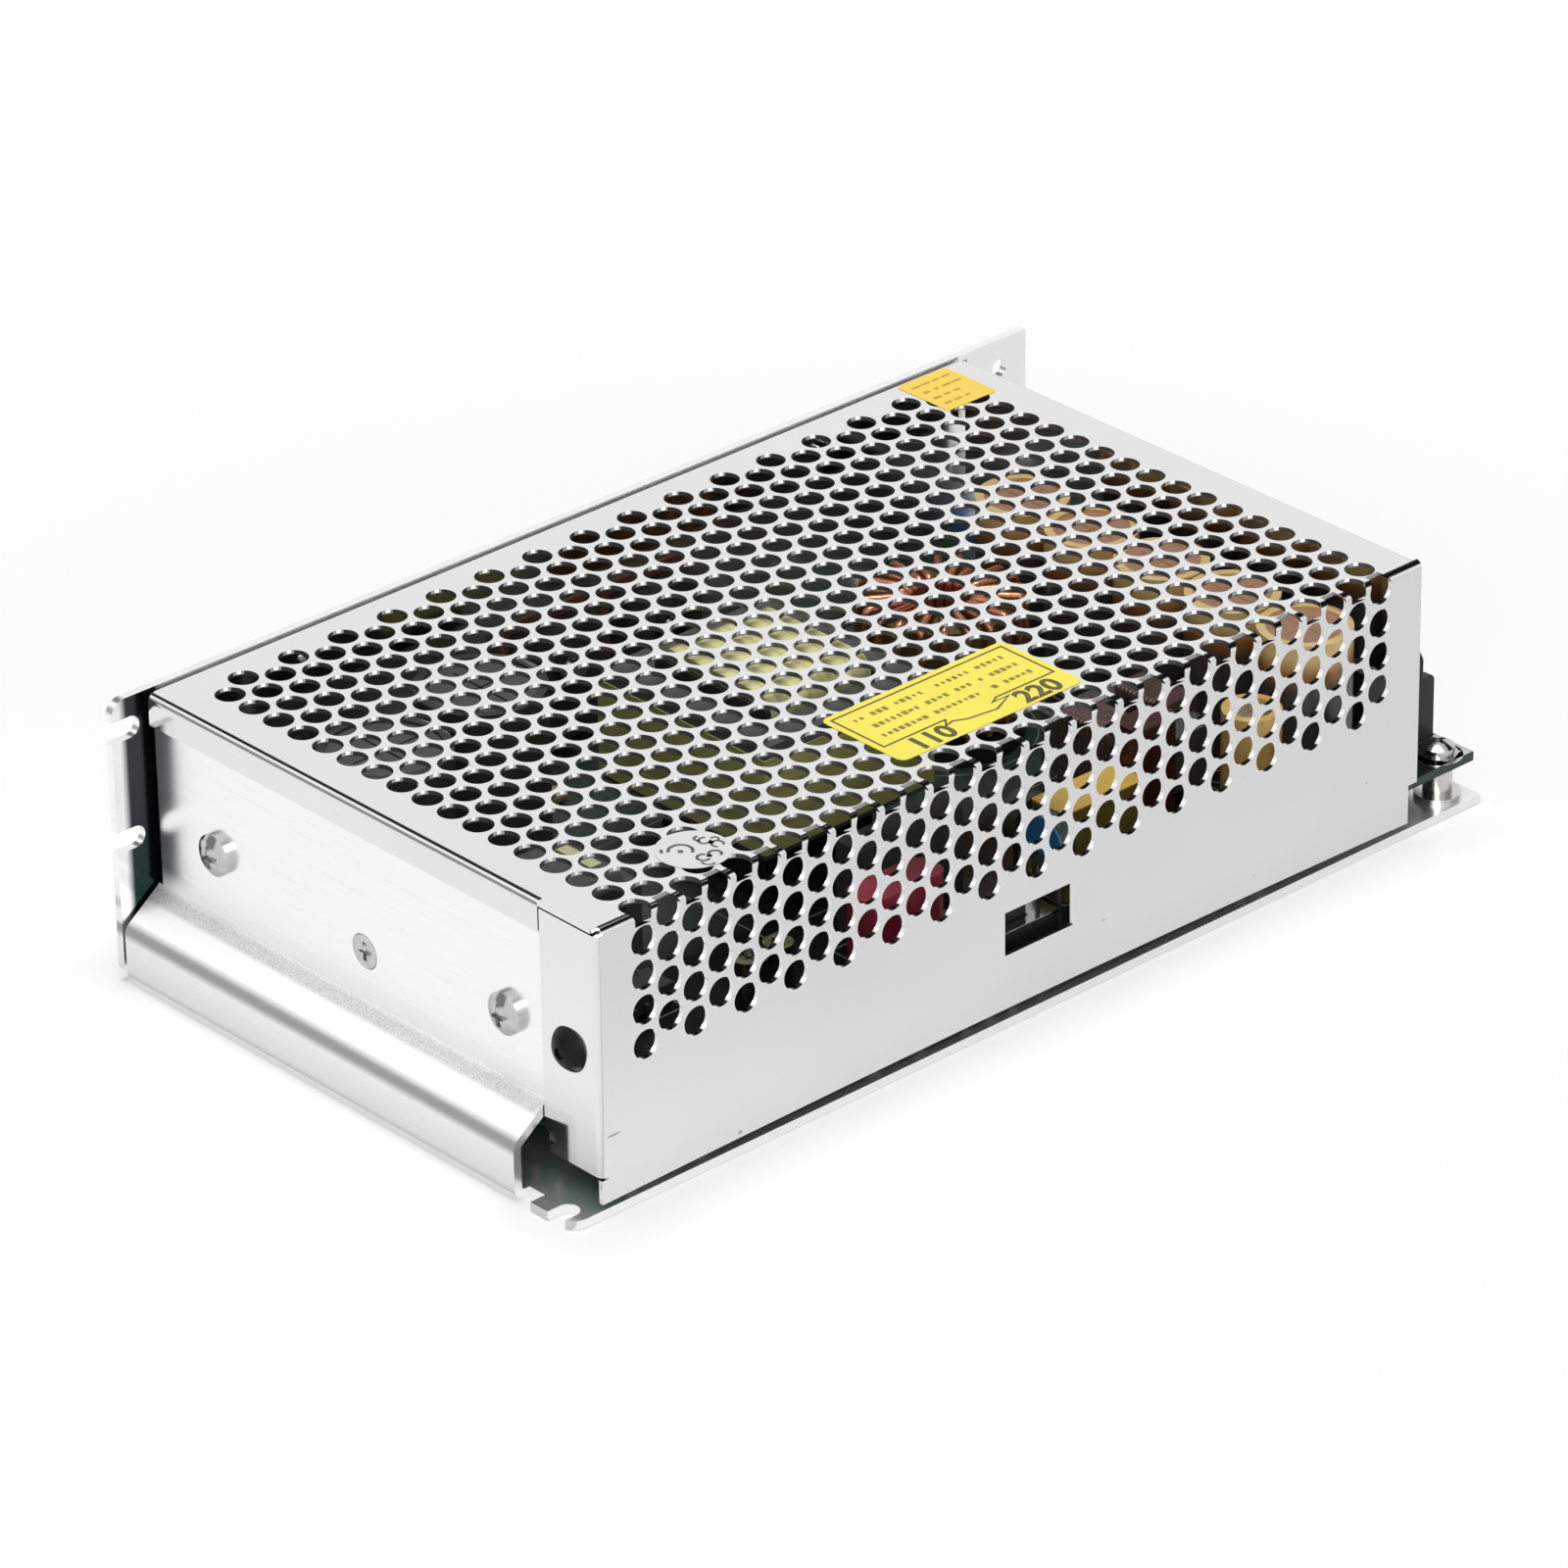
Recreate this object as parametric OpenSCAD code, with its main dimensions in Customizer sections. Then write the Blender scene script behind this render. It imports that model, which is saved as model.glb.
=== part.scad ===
// Enclosed switching power supply: folded chassis, perforated cover, board and barrier terminals.
// Millimetres, +X towards the terminals, -Y the perforated long side, +Z up, origin at bottom centre.

/* [Enclosure] */
// Overall length along X
unit_l = 200; // [180:1:240]
// Overall width along Y
unit_w = 110; // [107:1:130]
// Overall height along Z
unit_h = 50; // [48:1:70]
// Chassis sheet thickness
chassis_t = 1.5; // [1:0.1:2]
// Cover sheet thickness
cover_t = 0.8; // [0.6:0.1:1.2]
// Distance from the cover's open end to the chassis end
cover_open = 15.4; // [10:0.1:25]
// Distance of the cover's end strip behind the chassis lip
setback = 6.3; // [5:0.1:8]
// Gap between the cover's far edge and the side wall
cover_gap = 0.4; // [0.2:0.1:0.8]
// Gap between the near side of the cover and the base
foot_gap = 1; // [0.4:0.1:2.5]
// Outer bend radius of the cover
bend_r = 1.3; // [1.25:0.05:2]
// Width of the end strip folded round the near corner
strip_w = 13.1; // [11:0.1:16]
// Height of the lip folded down over the end wall
lip_h = 5.4; // [3:0.1:9]

/* [Perforation] */
// Hole diameter
hole_d = 5; // [3:0.1:5.2]
// Row pitch around the bend
row_pitch = 6; // [6:0.1:7]
// Column pitch along X
col_pitch = 5.14; // [5.14:0.02:7]
// First full row below the top
side_first = 5; // [4.6:0.1:5.4]

/* [Board] */
// Height of the standoffs
standoff_h = 5.9; // [4:0.1:7]
// Board thickness
pcb_t = 1.6; // [1:0.1:2]
// Pitch of the terminals
term_pitch = 9.5; // [8.5:0.1:11]
// Thickness of the terminal barriers
fin_t = 1.5; // [1:0.1:2]
// Height of the terminal barriers above the board
fin_h = 17.1; // [15:0.1:20]

/* [Selector] */
// Width of the selector window
win_w = 15; // [13:0.1:20]
// Height of the selector window
win_h = 7.7; // [6:0.1:9]
// Travel of the selector slider
sel_travel = 4.4; // [3:0.1:5]

/* [Fasteners] */
// Head diameter of the end wall pan screws
pan_d = 7.2; // [6:0.1:8]
// Head height of the end wall pan screws
pan_h = 2.4; // [1.8:0.1:3]
// Shank diameter of the end wall pan screws
pan_shank = 3.4; // [3:0.1:3.6]
// Head diameter of the countersunk screws
flat_d = 6; // [5.2:0.1:7]
// Head diameter of the push rivet
rivet_d = 7.6; // [6:0.1:9]

/* [Windings] */
// Outer diameter of the output inductor core
tor_d = 26; // [22:0.5:26]
// Diameter of the output capacitors
outcap_d = 16; // [12:0.5:16]
// Height of the output capacitors
outcap_h = 31; // [20:0.5:34]
// Diameter of the bulk capacitors
bulk_d = 22; // [18:0.5:22]
// Height of the bulk capacitors
bulk_h = 32; // [20:0.5:35]

/* [Hidden] */
$fn = 48;
eps = 0.01;
cut = 1;
fit = 0.2;
slack = 0.3;

// Planes shared by the pieces
x_min = -unit_l / 2;
x_max = unit_l / 2;
y_near = -unit_w / 2;
y_far = unit_w / 2;
base_top = chassis_t;
wall_in_y = y_far - chassis_t;
cover_x0 = x_min + setback;
cover_x1 = x_max - cover_open;
cover_l = cover_x1 - cover_x0;
cover_y1 = wall_in_y - cover_gap;
cover_z0 = base_top + foot_gap;
cover_in_z = unit_h - cover_t;
wall_x = cover_x0 + cover_t + fit;
wall_in_x = wall_x + chassis_t;
pcb_bot = base_top + standoff_h;
pcb_top = pcb_bot + pcb_t;
pcb_x0 = wall_in_x + 1.3;
pcb_x1 = x_max - 0.3;
pcb_y0 = y_near + cover_t + 0.7;
pcb_y1 = wall_in_y - 2;

// Chassis folds
fold_ri = 0.5;
fold_ro = fold_ri + chassis_t;
// Slope of the end wall's jog: run over rise of four to three
jog_d = [0.8, 0.6];
jog_n = [-0.6, 0.8];
jog_a = atan2(jog_d[0], jog_d[1]);
jog_z = 8.8;
jog_run = wall_x - x_min - fold_ro - fold_ri;
jog_len = (jog_run - (fold_ro + fold_ri) * jog_n[0]) / jog_d[0];
jog_top = jog_z + (fold_ro + fold_ri) * jog_n[1] + jog_len * jog_d[1];
lip_y0 = y_near + strip_w + fit;
lip_y1 = wall_in_y - 1.7;
jog_y1 = wall_in_y - 0.6;
relief_w = 3.6;
relief_in = fold_ro + fit;
side_relief = 4;
endwall_top = cover_in_z - slack;
endwall_low = 8;
slot_w = 3.8;
slot_in = 5.6;
base_slot_in = 4.4;
base_slot_y = y_near + 3.8;
corner_r = 3;
mount_sx = 150;
mount_sy = 50;
mount_d = 4;
tab_hole_d = 3.4;
slot_z = [24.9, unit_h - 5.4];

// Fasteners
end_z = 27;
end_y = [y_near + 22, y_far - 18];
flat_y = (end_y[0] + end_y[1]) / 2 - 0.5;
flat_z = 23.5;
rivet_y = y_near + 6.9;
rivet_z = 27;
rivet_shank = 3.8;
m3 = 2.8;
m3_hole = 3.4;
flat_h = 1.5;
cover_screw_x = [cover_x0 + 33.7, cover_x1 - 32.6];
cover_screw_z = unit_h - 6.5;
flange_h = 11;
pad_t = 0.4;
pkg_t = 5;
pkg_w = 16;
pkg_up = 6;
pkg_dn = 14;
nut_h = 2.4;
side_z = 27;

// Selector switch
sel_x = -4.6;
sel_l = 19.8;
sel_d = 7.5;
sel_h = 5.3;
sel_y0 = y_near + 3;
sel_plate = 0.5;
sel_top = pcb_top + sel_h + sel_plate;
knob_l = 6;
knob_d = 3;
knob_h = 4.6;
shoe_l = 7.4;
shoe_d = 3.8;
shoe_h = 1.6;
win_x = sel_x + 3.15;
win_z0 = pcb_top + 4;

// Perforation lattice
bend_loss = 0.9;
hole_margin = 8.9;
cols = floor((cover_l - 2 * hole_margin) / col_pitch) + 1;
col_x0 = (cover_x0 + cover_x1) / 2 - (cols - 1) / 2 * col_pitch;
far_margin = 6.7;
top_odd = 1.5 * row_pitch - side_first + bend_loss;
bend_even = row_pitch - side_first + bend_loss;
bend_odd = side_first - row_pitch / 2;
row_edge = 1.5;
side_span = unit_h - side_first - hole_d / 2 - row_edge - win_z0 - win_h;
side_rows = floor(side_span / row_pitch) + 1;
cover_w = cover_y1 - y_near;
// Rise of the long lower edge and depth of the end flange above the terminals
edge_rise = 0.9;
edge_steps = 12;
end_clear = 1.4;

// Terminals
term_d = 16.5;
term_front = pcb_x1 - 0.6;
term_back = term_front - term_d;
term_y0 = pcb_y0 + 8.7;
term_room = 8.8;
term_n = floor((pcb_y1 - term_room - term_y0 - fin_t) / term_pitch);
term_len = term_n * term_pitch + fin_t;
term_floor = 8;
fin_low = 11.6;
fin_step = 2.7;
bay_w = term_pitch - fin_t;
screw_x = term_front - 8;
contact_t = 0.8;
clamp_t = 1;
term_bore = 4;
term_head_d = 6.4;
term_head_h = 2.6;
term_shank = 3.5;
term_bite = 4.5;

// Trimmer and lamp
trim_x = term_front - 4;
trim_y = pcb_y1 - 4;
trim_s = 6.6;
trim_h = 4.8;
rotor_d = 4;
lamp_x = trim_x - 8;

// Inner pieces, placed from the ends of the board and from its middle line
gap = 2;
dev_depth = pad_t + pkg_t + nut_h + 1;
mid_y = (pcb_y0 + pcb_y1) / 2;
core_x = (wall_in_x + term_back) / 2 - 3.7;
core_y = mid_y + 2.5;
core_l = 36;
core_w = 39;
core_h = 20;
core_z = pcb_top + 13;
leg_w = 6;
mid_leg = 9;
belt_t = 0.3;
side_x = [core_x - 2, core_x + 20];
drv_x = wall_in_x + 31.2;
drv_y = core_y - 9.5;
outcap_x = min(term_back, cover_x1 - cover_t) - outcap_d / 2 - 5.6;
outcap_front = outcap_x - outcap_d / 2;
outcap_n = 5;
outcap_pitch = outcap_d + 0.5;
outcap_y0 = pcb_y0 + 1.5 + outcap_d / 2;
tor_h = 18.5;
tor_lift = 6;
wire_d = 2.2;
tor_x = outcap_front - 2 * gap - tor_d / 2 - wire_d - fit;
tor_y = mid_y + 14;
bulk_x0 = wall_in_x + dev_depth + 2 * gap + bulk_d / 2;
bulk_x1 = bulk_x0 + bulk_d + 1.5 * gap;
bulk_pos = [[bulk_x0, pcb_y1 - 15 - bulk_d / 2], [bulk_x1, pcb_y1 - 9 - bulk_d / 2]];
film_x = sel_x + 19.5;
film_y = pcb_y0 + 9.5;
film_l = 18;
film_w = 8;
film_h = 16;

module ring_sector(r_in, r_out, a0, a1) {
    far = r_out * 3;
    mid = (a0 + a1) / 2;
    intersection() {
        difference() {
            circle(r_out);
            circle(r_in);
        }
        polygon([[0, 0], far * [cos(a0), sin(a0)], far * [cos(mid), sin(mid)],
                 far * [cos(a1), sin(a1)]]);
    }
}

module slot2d(len, w) {
    translate([0, -w / 2])
        square([len, w]);
    translate([len, 0])
        circle(d = w);
}

module along_y(y0, len) {
    translate([0, y0 + len, 0])
        rotate([90, 0, 0])
            linear_extrude(len)
                children();
}

module along_x(x0, len) {
    translate([x0, 0, 0])
        rotate([90, 0, 90])
            linear_extrude(len)
                children();
}

module block(x0, x1, y0, y1, z0, z1) {
    translate([x0, y0, z0])
        cube([x1 - x0, y1 - y0, z1 - z0]);
}

// Fold line profile of the end wall, drawn in X and Z
module endwall_profile() {
    c1 = [x_min + fold_ro, jog_z];
    c2 = c1 + (fold_ro + fold_ri) * jog_n + jog_len * jog_d;
    translate([x_min + fold_ro, fold_ro])
        ring_sector(fold_ri, fold_ro, 180, 270);
    translate([x_min, fold_ro])
        square([chassis_t, jog_z - fold_ro]);
    translate(c1)
        ring_sector(fold_ri, fold_ro, 180 - jog_a, 180);
    polygon([c1 + fold_ro * jog_n, c1 + fold_ro * jog_n + jog_len * jog_d,
             c1 + fold_ri * jog_n + jog_len * jog_d, c1 + fold_ri * jog_n]);
    translate(c2)
        ring_sector(fold_ri, fold_ro, 360 - jog_a, 360);
    translate([wall_x, jog_top])
        square([chassis_t, endwall_top - jog_top]);
}

module base_sheet() {
    y1 = y_far - fold_ro;
    x_fold = x_min + fold_ro;
    linear_extrude(chassis_t)
        difference() {
            union() {
                translate([x_fold, lip_y0])
                    square([x_max - x_fold, y1 - lip_y0]);
                translate([x_min + corner_r, y_near])
                    square([x_max - x_min - corner_r, y1 - y_near]);
                translate([x_min, y_near + corner_r])
                    square([corner_r + 1, lip_y0 - relief_w - y_near - corner_r]);
                translate([x_min + corner_r, y_near + corner_r])
                    circle(corner_r);
            }
            translate([x_min - cut, base_slot_y])
                slot2d(base_slot_in - slot_w / 2 + cut, slot_w);
            translate([x_min - cut, lip_y0 - relief_w])
                square([cut + relief_in, relief_w]);
            translate([x_min - cut, jog_y1])
                square([cut + side_relief, y_far - jog_y1]);
            for (sx = [-1, 1], sy = [-1, 1])
                translate([sx * mount_sx / 2, sy * mount_sy / 2])
                    circle(d = mount_d);
        }
}

module side_sheet() {
    difference() {
        union() {
            translate([x_min, fold_ro])
                square([unit_l, unit_h - fold_ro - corner_r]);
            translate([x_min + corner_r, unit_h - corner_r - eps])
                square([unit_l - corner_r, corner_r + eps]);
            translate([x_min + corner_r, unit_h - corner_r])
                circle(corner_r);
        }
        for (z = slot_z) {
            translate([x_min - cut, z])
                slot2d(slot_in - slot_w / 2 + cut, slot_w);
            translate([x_max - 6.2, z])
                circle(d = tab_hole_d);
        }
    }
}

module flat_hole() {
    translate([0, 0, -cut])
        cylinder(d = m3_hole, h = chassis_t + 2 * cut);
    translate([0, 0, chassis_t - flat_h])
        cylinder(d1 = m3_hole, d2 = flat_d + fit, h = flat_h);
    translate([0, 0, chassis_t])
        cylinder(d = flat_d + fit, h = cut);
}

module chassis() {
    color("Gainsboro")
    difference() {
        union() {
            base_sheet();
            along_x(x_min + side_relief, unit_l - side_relief)
                translate([y_far - fold_ro, fold_ro])
                    ring_sector(fold_ri, fold_ro, 270, 360);
            translate([0, y_far, 0])
                rotate([90, 0, 0])
                    linear_extrude(chassis_t)
                        side_sheet();
            along_y(lip_y0, lip_y1 - lip_y0)
                endwall_profile();
            intersection() {
                along_y(lip_y1 - eps, jog_y1 - lip_y1 + eps)
                    endwall_profile();
                block(x_min - cut, wall_x, lip_y1 - cut, jog_y1 + cut, -cut, jog_top);
            }
            block(wall_x, wall_in_x, y_near + cover_t + fit, lip_y0, endwall_low, endwall_top);
        }
        for (y = end_y)
            translate([wall_x - cut, y, end_z])
                rotate([0, 90, 0])
                    cylinder(d = pan_shank + 2 * fit, h = chassis_t + 2 * cut);
        translate([wall_in_x, flat_y, flat_z])
            rotate([0, -90, 0])
                flat_hole();
        translate([wall_x - cut, rivet_y, rivet_z])
            rotate([0, 90, 0])
                cylinder(d = rivet_shank + 2 * fit, h = chassis_t + 2 * cut);
        for (x = cover_screw_x)
            translate([x, wall_in_y, cover_screw_z])
                rotate([-90, 0, 0])
                    flat_hole();
        for (x = side_x)
            translate([x, wall_in_y, side_z])
                rotate([-90, 0, 0])
                    flat_hole();
    }
}

// Punched holes: even and odd columns are staggered by half a row
module columns(start) {
    for (i = [start : 2 : cols - 1])
        translate([col_x0 + i * col_pitch, 0, 0])
            children();
}

module top_holes(first) {
    for (p = [first : row_pitch : cover_w - far_margin])
        translate([0, y_near + p, unit_h - bend_r - cut])
            cylinder(d = hole_d, h = bend_r + 2 * cut);
}

module side_holes(first, last) {
    for (p = [first : row_pitch : last])
        translate([0, y_near - cut, unit_h - p])
            rotate([-90, 0, 0])
                cylinder(d = hole_d, h = bend_r + 2 * cut);
}

module perforation() {
    columns(0) {
        top_holes(bend_even);
        side_holes(side_first, side_first + (side_rows - 1) * row_pitch);
    }
    columns(1) {
        top_holes(top_odd);
        side_holes(bend_odd, side_first + (side_rows - 1.5) * row_pitch);
    }
}

module cover_top_sheet() {
    y0 = y_near + bend_r;
    y1 = cover_y1 - bend_r;
    strip_y = y_near + strip_w + slack;
    translate([cover_x0 + bend_r, y0])
        square([cover_l - 2 * bend_r, y1 - y0]);
    translate([cover_x0, y0])
        square([bend_r + eps, strip_y - y0]);
}

// Long lower edge of the near side, arched a little between the corners
function edge_z(i) = cover_z0 + edge_rise * (1 - pow(2 * i / edge_steps - 1, 2));

module cover_side_sheet() {
    z1 = unit_h - bend_r;
    x0 = cover_x0 + bend_r;
    notch_w = 2;
    notch_h = 7;
    difference() {
        union() {
            polygon(concat([for (i = [0 : edge_steps])
                                [x0 + (cover_x1 - x0) * i / edge_steps, edge_z(i)]],
                           [[cover_x1, z1], [x0, z1]]));
            translate([cover_x0, cover_z0])
                square([bend_r + eps, strip_low - slack - cover_z0]);
        }
        translate([cover_x1 - notch_w, cover_z0 - cut])
            square([notch_w + cut, notch_h + cut]);
        translate([win_x - win_w / 2, win_z0])
            square([win_w, win_h]);
    }
}

strip_low = cover_z0 + 4.4;
strip_top = cover_in_z - slack;

module cover_strip() {
    notch_y = 1.3;
    notch_r = 1.2;
    notch_z = 2.4;
    difference() {
        translate([y_near + bend_r, strip_low])
            square([strip_w - bend_r, strip_top - strip_low]);
        translate([y_near + strip_w - notch_y, strip_low - cut])
            square([notch_y + cut, notch_z + cut]);
        translate([y_near + strip_w - notch_r, strip_low + notch_z])
            circle(notch_r);
        translate([y_near + strip_w - notch_r, strip_low + notch_z])
            square([notch_r + cut, notch_r]);
        translate([rivet_y, rivet_z])
            circle(d = rivet_shank + 2 * fit);
    }
}

// The folded sheet before it is punched
module cover_blank() {
    r_in = bend_r - cover_t;
    lip_y0c = y_near + strip_w + slack;
    translate([0, 0, cover_in_z])
        linear_extrude(cover_t)
            cover_top_sheet();
    translate([0, y_near + cover_t, 0])
        rotate([90, 0, 0])
            linear_extrude(cover_t)
                cover_side_sheet();
    along_x(cover_x0 + bend_r, cover_l - bend_r)
        translate([y_near + bend_r, unit_h - bend_r])
            ring_sector(r_in, bend_r, 90, 180);
    translate([0, 0, strip_low])
        linear_extrude(strip_top - strip_low)
            translate([cover_x0 + bend_r, y_near + bend_r])
                ring_sector(r_in, bend_r, 180, 270);
    along_x(cover_x0, cover_t)
        cover_strip();
    along_y(lip_y0c, lip_y1 - lip_y0c)
        translate([cover_x0 + bend_r, unit_h - bend_r])
            ring_sector(r_in, bend_r, 90, 180);
    block(cover_x0, cover_x0 + cover_t, lip_y0c, lip_y1, unit_h - lip_h, unit_h - bend_r);
    along_x(cover_x0 + bend_r, cover_l - bend_r)
        translate([cover_y1 - bend_r, unit_h - bend_r])
            ring_sector(r_in, bend_r, 0, 90);
    block(wall_in_x + 4, cover_x1, cover_y1 - cover_t, cover_y1, unit_h - flange_h,
          unit_h - bend_r);
    end_flange_y0 = y_near + bend_r + slack;
    end_flange_y1 = cover_y1 - bend_r - slack;
    along_y(end_flange_y0, end_flange_y1 - end_flange_y0)
        translate([cover_x1 - bend_r, unit_h - bend_r])
            ring_sector(r_in, bend_r, 0, 90);
    block(cover_x1 - cover_t, cover_x1, end_flange_y0, end_flange_y1, pcb_top + fin_h + end_clear,
          unit_h - bend_r);
}

module cover() {
    color("WhiteSmoke")
    difference() {
        union() {
            cover_blank();
        }
        perforation();
        for (x = cover_screw_x)
            translate([x, cover_y1 - cover_t - cut, cover_screw_z])
                rotate([-90, 0, 0])
                    cylinder(d = m3 + 2 * fit, h = cover_t + 2 * cut);
    }
}

// Screws point along -Z with the head's seat at Z = 0
module cross_recess(w, l, top, depth) {
    for (a = [0, 90])
        rotate(a)
            translate([-l / 2, -w / 2, top - depth])
                cube([l, w, depth + cut]);
}

module pan_screw(head_d, head_h, shank_d, len) {
    dome_r = head_d * 0.8;
    difference() {
        union() {
            rotate_extrude()
                intersection() {
                    square([head_d / 2, head_h]);
                    translate([0, head_h - dome_r])
                        circle(dome_r);
                }
            translate([0, 0, -len])
                cylinder(d = shank_d, h = len + head_h / 4);
        }
        cross_recess(head_d * 0.15, head_d * 0.55, head_h, head_h * 0.55);
    }
}

module flat_screw(len) {
    difference() {
        union() {
            translate([0, 0, -flat_h])
                cylinder(d1 = m3, d2 = flat_d - fit, h = flat_h - fit / 2);
            translate([0, 0, -len])
                cylinder(d = m3, h = len - fit);
        }
        cross_recess(flat_d * 0.14, flat_d * 0.55, -fit / 2, 0.8);
    }
}

module hex_nut(flats, bore, h) {
    difference() {
        cylinder(d = flats / cos(30), h = h, $fn = 6);
        translate([0, 0, -cut])
            cylinder(d = bore, h = h + 2 * cut);
    }
}

module cover_rivet() {
    head_h = 2.2;
    dome_r = (pow(rivet_d / 2, 2) + pow(head_h, 2)) / (2 * head_h);
    body = cover_t + fit + chassis_t + 2 * slack;
    color("DimGray")
    translate([cover_x0, rivet_y, rivet_z])
        rotate([0, -90, 0]) {
            difference() {
                rotate_extrude()
                    intersection() {
                        square([rivet_d / 2, head_h]);
                        translate([0, head_h - dome_r])
                            circle(dome_r);
                    }
                translate([0, 0, head_h - 0.5])
                    cylinder(d = 2, h = 1);
            }
            translate([0, 0, -body])
                cylinder(d = rivet_shank, h = body + eps);
            translate([0, 0, -body - 2])
                cylinder(d1 = rivet_shank - 1, d2 = rivet_shank + 1, h = 2);
        }
}

module cover_screws() {
    color("Silver")
    for (x = cover_screw_x)
        translate([x, y_far, cover_screw_z])
            rotate([-90, 0, 0])
                flat_screw(chassis_t + cover_gap + cover_t + 2);
}

module end_pan_screws() {
    color("Silver")
    for (y = end_y)
        translate([wall_x, y, end_z])
            rotate([0, -90, 0])
                pan_screw(pan_d, pan_h, pan_shank, chassis_t + pad_t + pkg_t + nut_h + 1);
}

module end_flat_screw() {
    color("Silver")
    translate([wall_x, flat_y, flat_z])
        rotate([0, -90, 0])
            flat_screw(chassis_t + pad_t + reg_tab + nut_h + 1);
}

module side_flat_screws() {
    color("Silver")
    for (x = side_x)
        translate([x, y_far, side_z])
            rotate([-90, 0, 0])
                flat_screw(chassis_t + pad_t + pkg_t + nut_h + 1);
}

module power_nuts() {
    color("Silver") {
        for (y = end_y)
            translate([wall_in_x + pad_t + pkg_t, y, end_z])
                rotate([0, 90, 0])
                    hex_nut(6, pan_shank + 2 * fit, nut_h);
        translate([wall_in_x + pad_t + reg_tab, flat_y, flat_z])
            rotate([0, 90, 0])
                hex_nut(5.5, m3 + 2 * fit, nut_h);
        for (x = side_x)
            translate([x, wall_in_y - pad_t - pkg_t, side_z])
                rotate([90, 0, 0])
                    hex_nut(5.5, m3 + 2 * fit, nut_h);
    }
}

stand_pos = [[pcb_x1 - 4.8, pcb_y0 + 3.5], [outcap_x, pcb_y1 - 5], [pcb_x0 + 9, pcb_y0 + 5],
             [pcb_x0 + 9, pcb_y1 - 5], [core_x - 16, pcb_y1 - 5]];
stand_d = 5;
foot_d = 8;
foot_h = 0.8;
washer_d = 6.6;
washer_t = 0.5;
board_head_d = 5.6;
board_head_h = 2.2;

module circuit_board() {
    color("DarkGreen")
    translate([0, 0, pcb_bot])
        linear_extrude(pcb_t)
            difference() {
                translate([pcb_x0, pcb_y0])
                    square([pcb_x1 - pcb_x0, pcb_y1 - pcb_y0]);
                for (p = stand_pos)
                    translate(p)
                        circle(d = m3_hole);
            }
}

module board_standoffs() {
    color("Silver")
    for (p = stand_pos)
        translate([p[0], p[1], base_top])
            difference() {
                union() {
                    cylinder(d = foot_d, h = foot_h);
                    cylinder(d = stand_d, h = standoff_h);
                }
                translate([0, 0, 1])
                    cylinder(d = m3 + 2 * fit, h = standoff_h);
            }
}

module board_washers() {
    color("Silver")
    for (p = stand_pos)
        translate([p[0], p[1], pcb_top])
            difference() {
                cylinder(d = washer_d, h = washer_t);
                translate([0, 0, -cut])
                    cylinder(d = m3_hole, h = washer_t + 2 * cut);
            }
}

module board_screws() {
    color("Silver")
    for (p = stand_pos)
        translate([p[0], p[1], pcb_top + washer_t])
            pan_screw(board_head_d, board_head_h, m3, washer_t + pcb_t + standoff_h - 1.5);
}

// Side outline of a terminal barrier, drawn in X and Z
module fin_profile() {
    r = 1.2;
    lead = 1;
    x_step = term_front - fin_step;
    translate([term_back, pcb_top])
        square([term_d - r, fin_low]);
    translate([term_back, pcb_top])
        square([term_d, fin_low - r]);
    translate([term_front - r, pcb_top + fin_low - r])
        circle(r);
    polygon([[term_back, pcb_top + fin_low - eps], [x_step, pcb_top + fin_low - eps],
             [x_step, pcb_top + fin_h - 2], [x_step - lead, pcb_top + fin_h],
             [term_back, pcb_top + fin_h]]);
}

module terminal_block() {
    back_t = 2.2;
    color("DimGray")
    union() {
        difference() {
            block(term_back, term_front, term_y0, term_y0 + term_len, pcb_top,
                  pcb_top + term_floor);
            for (i = [0 : term_n - 1])
                translate([screw_x, term_bay(i), pcb_top + term_floor - term_bite - slack])
                    cylinder(d = term_bore, h = term_bite + cut);
        }
        block(term_back, term_back + back_t, term_y0, term_y0 + term_len,
              pcb_top + term_floor - eps, pcb_top + fin_h);
        for (i = [0 : term_n])
            along_y(term_y0 + i * term_pitch, fin_t)
                fin_profile();
    }
}

function term_bay(i) = term_y0 + fin_t + bay_w / 2 + i * term_pitch;

module terminal_contacts() {
    cl = 9.6;
    color("Silver")
    for (i = [0 : term_n - 1])
        translate([screw_x, term_bay(i), pcb_top + term_floor])
            difference() {
                translate([-cl / 2, -bay_w / 2 + slack, 0])
                    cube([cl, bay_w - 2 * slack, contact_t]);
                translate([0, 0, -cut])
                    cylinder(d = term_bore, h = contact_t + 2 * cut);
            }
}

module terminal_clamps() {
    s = bay_w - 1;
    color("Silver")
    for (i = [0 : term_n - 1])
        translate([screw_x, term_bay(i), pcb_top + term_floor + contact_t])
            difference() {
                translate([-s / 2, -s / 2, 0])
                    cube([s, s, clamp_t]);
                translate([0, 0, -cut])
                    cylinder(d = term_bore, h = clamp_t + 2 * cut);
            }
}

module terminal_screws() {
    color("Silver")
    for (i = [0 : term_n - 1])
        translate([screw_x, term_bay(i), pcb_top + term_floor + contact_t + clamp_t])
            pan_screw(term_head_d, term_head_h, term_shank, contact_t + clamp_t + term_bite);
}

module selector_body() {
    pocket_l = shoe_l + sel_travel + 2 * slack;
    pocket_d = shoe_d + 2 * slack;
    pocket_h = shoe_h + 2 * slack;
    color("DimGray")
    translate([sel_x - sel_l / 2, sel_y0, pcb_top])
        difference() {
            cube([sel_l, sel_d, sel_h]);
            translate([(sel_l - pocket_l) / 2, (sel_d - pocket_d) / 2, sel_h - pocket_h])
                cube([pocket_l, pocket_d, pocket_h + cut]);
        }
}

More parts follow.
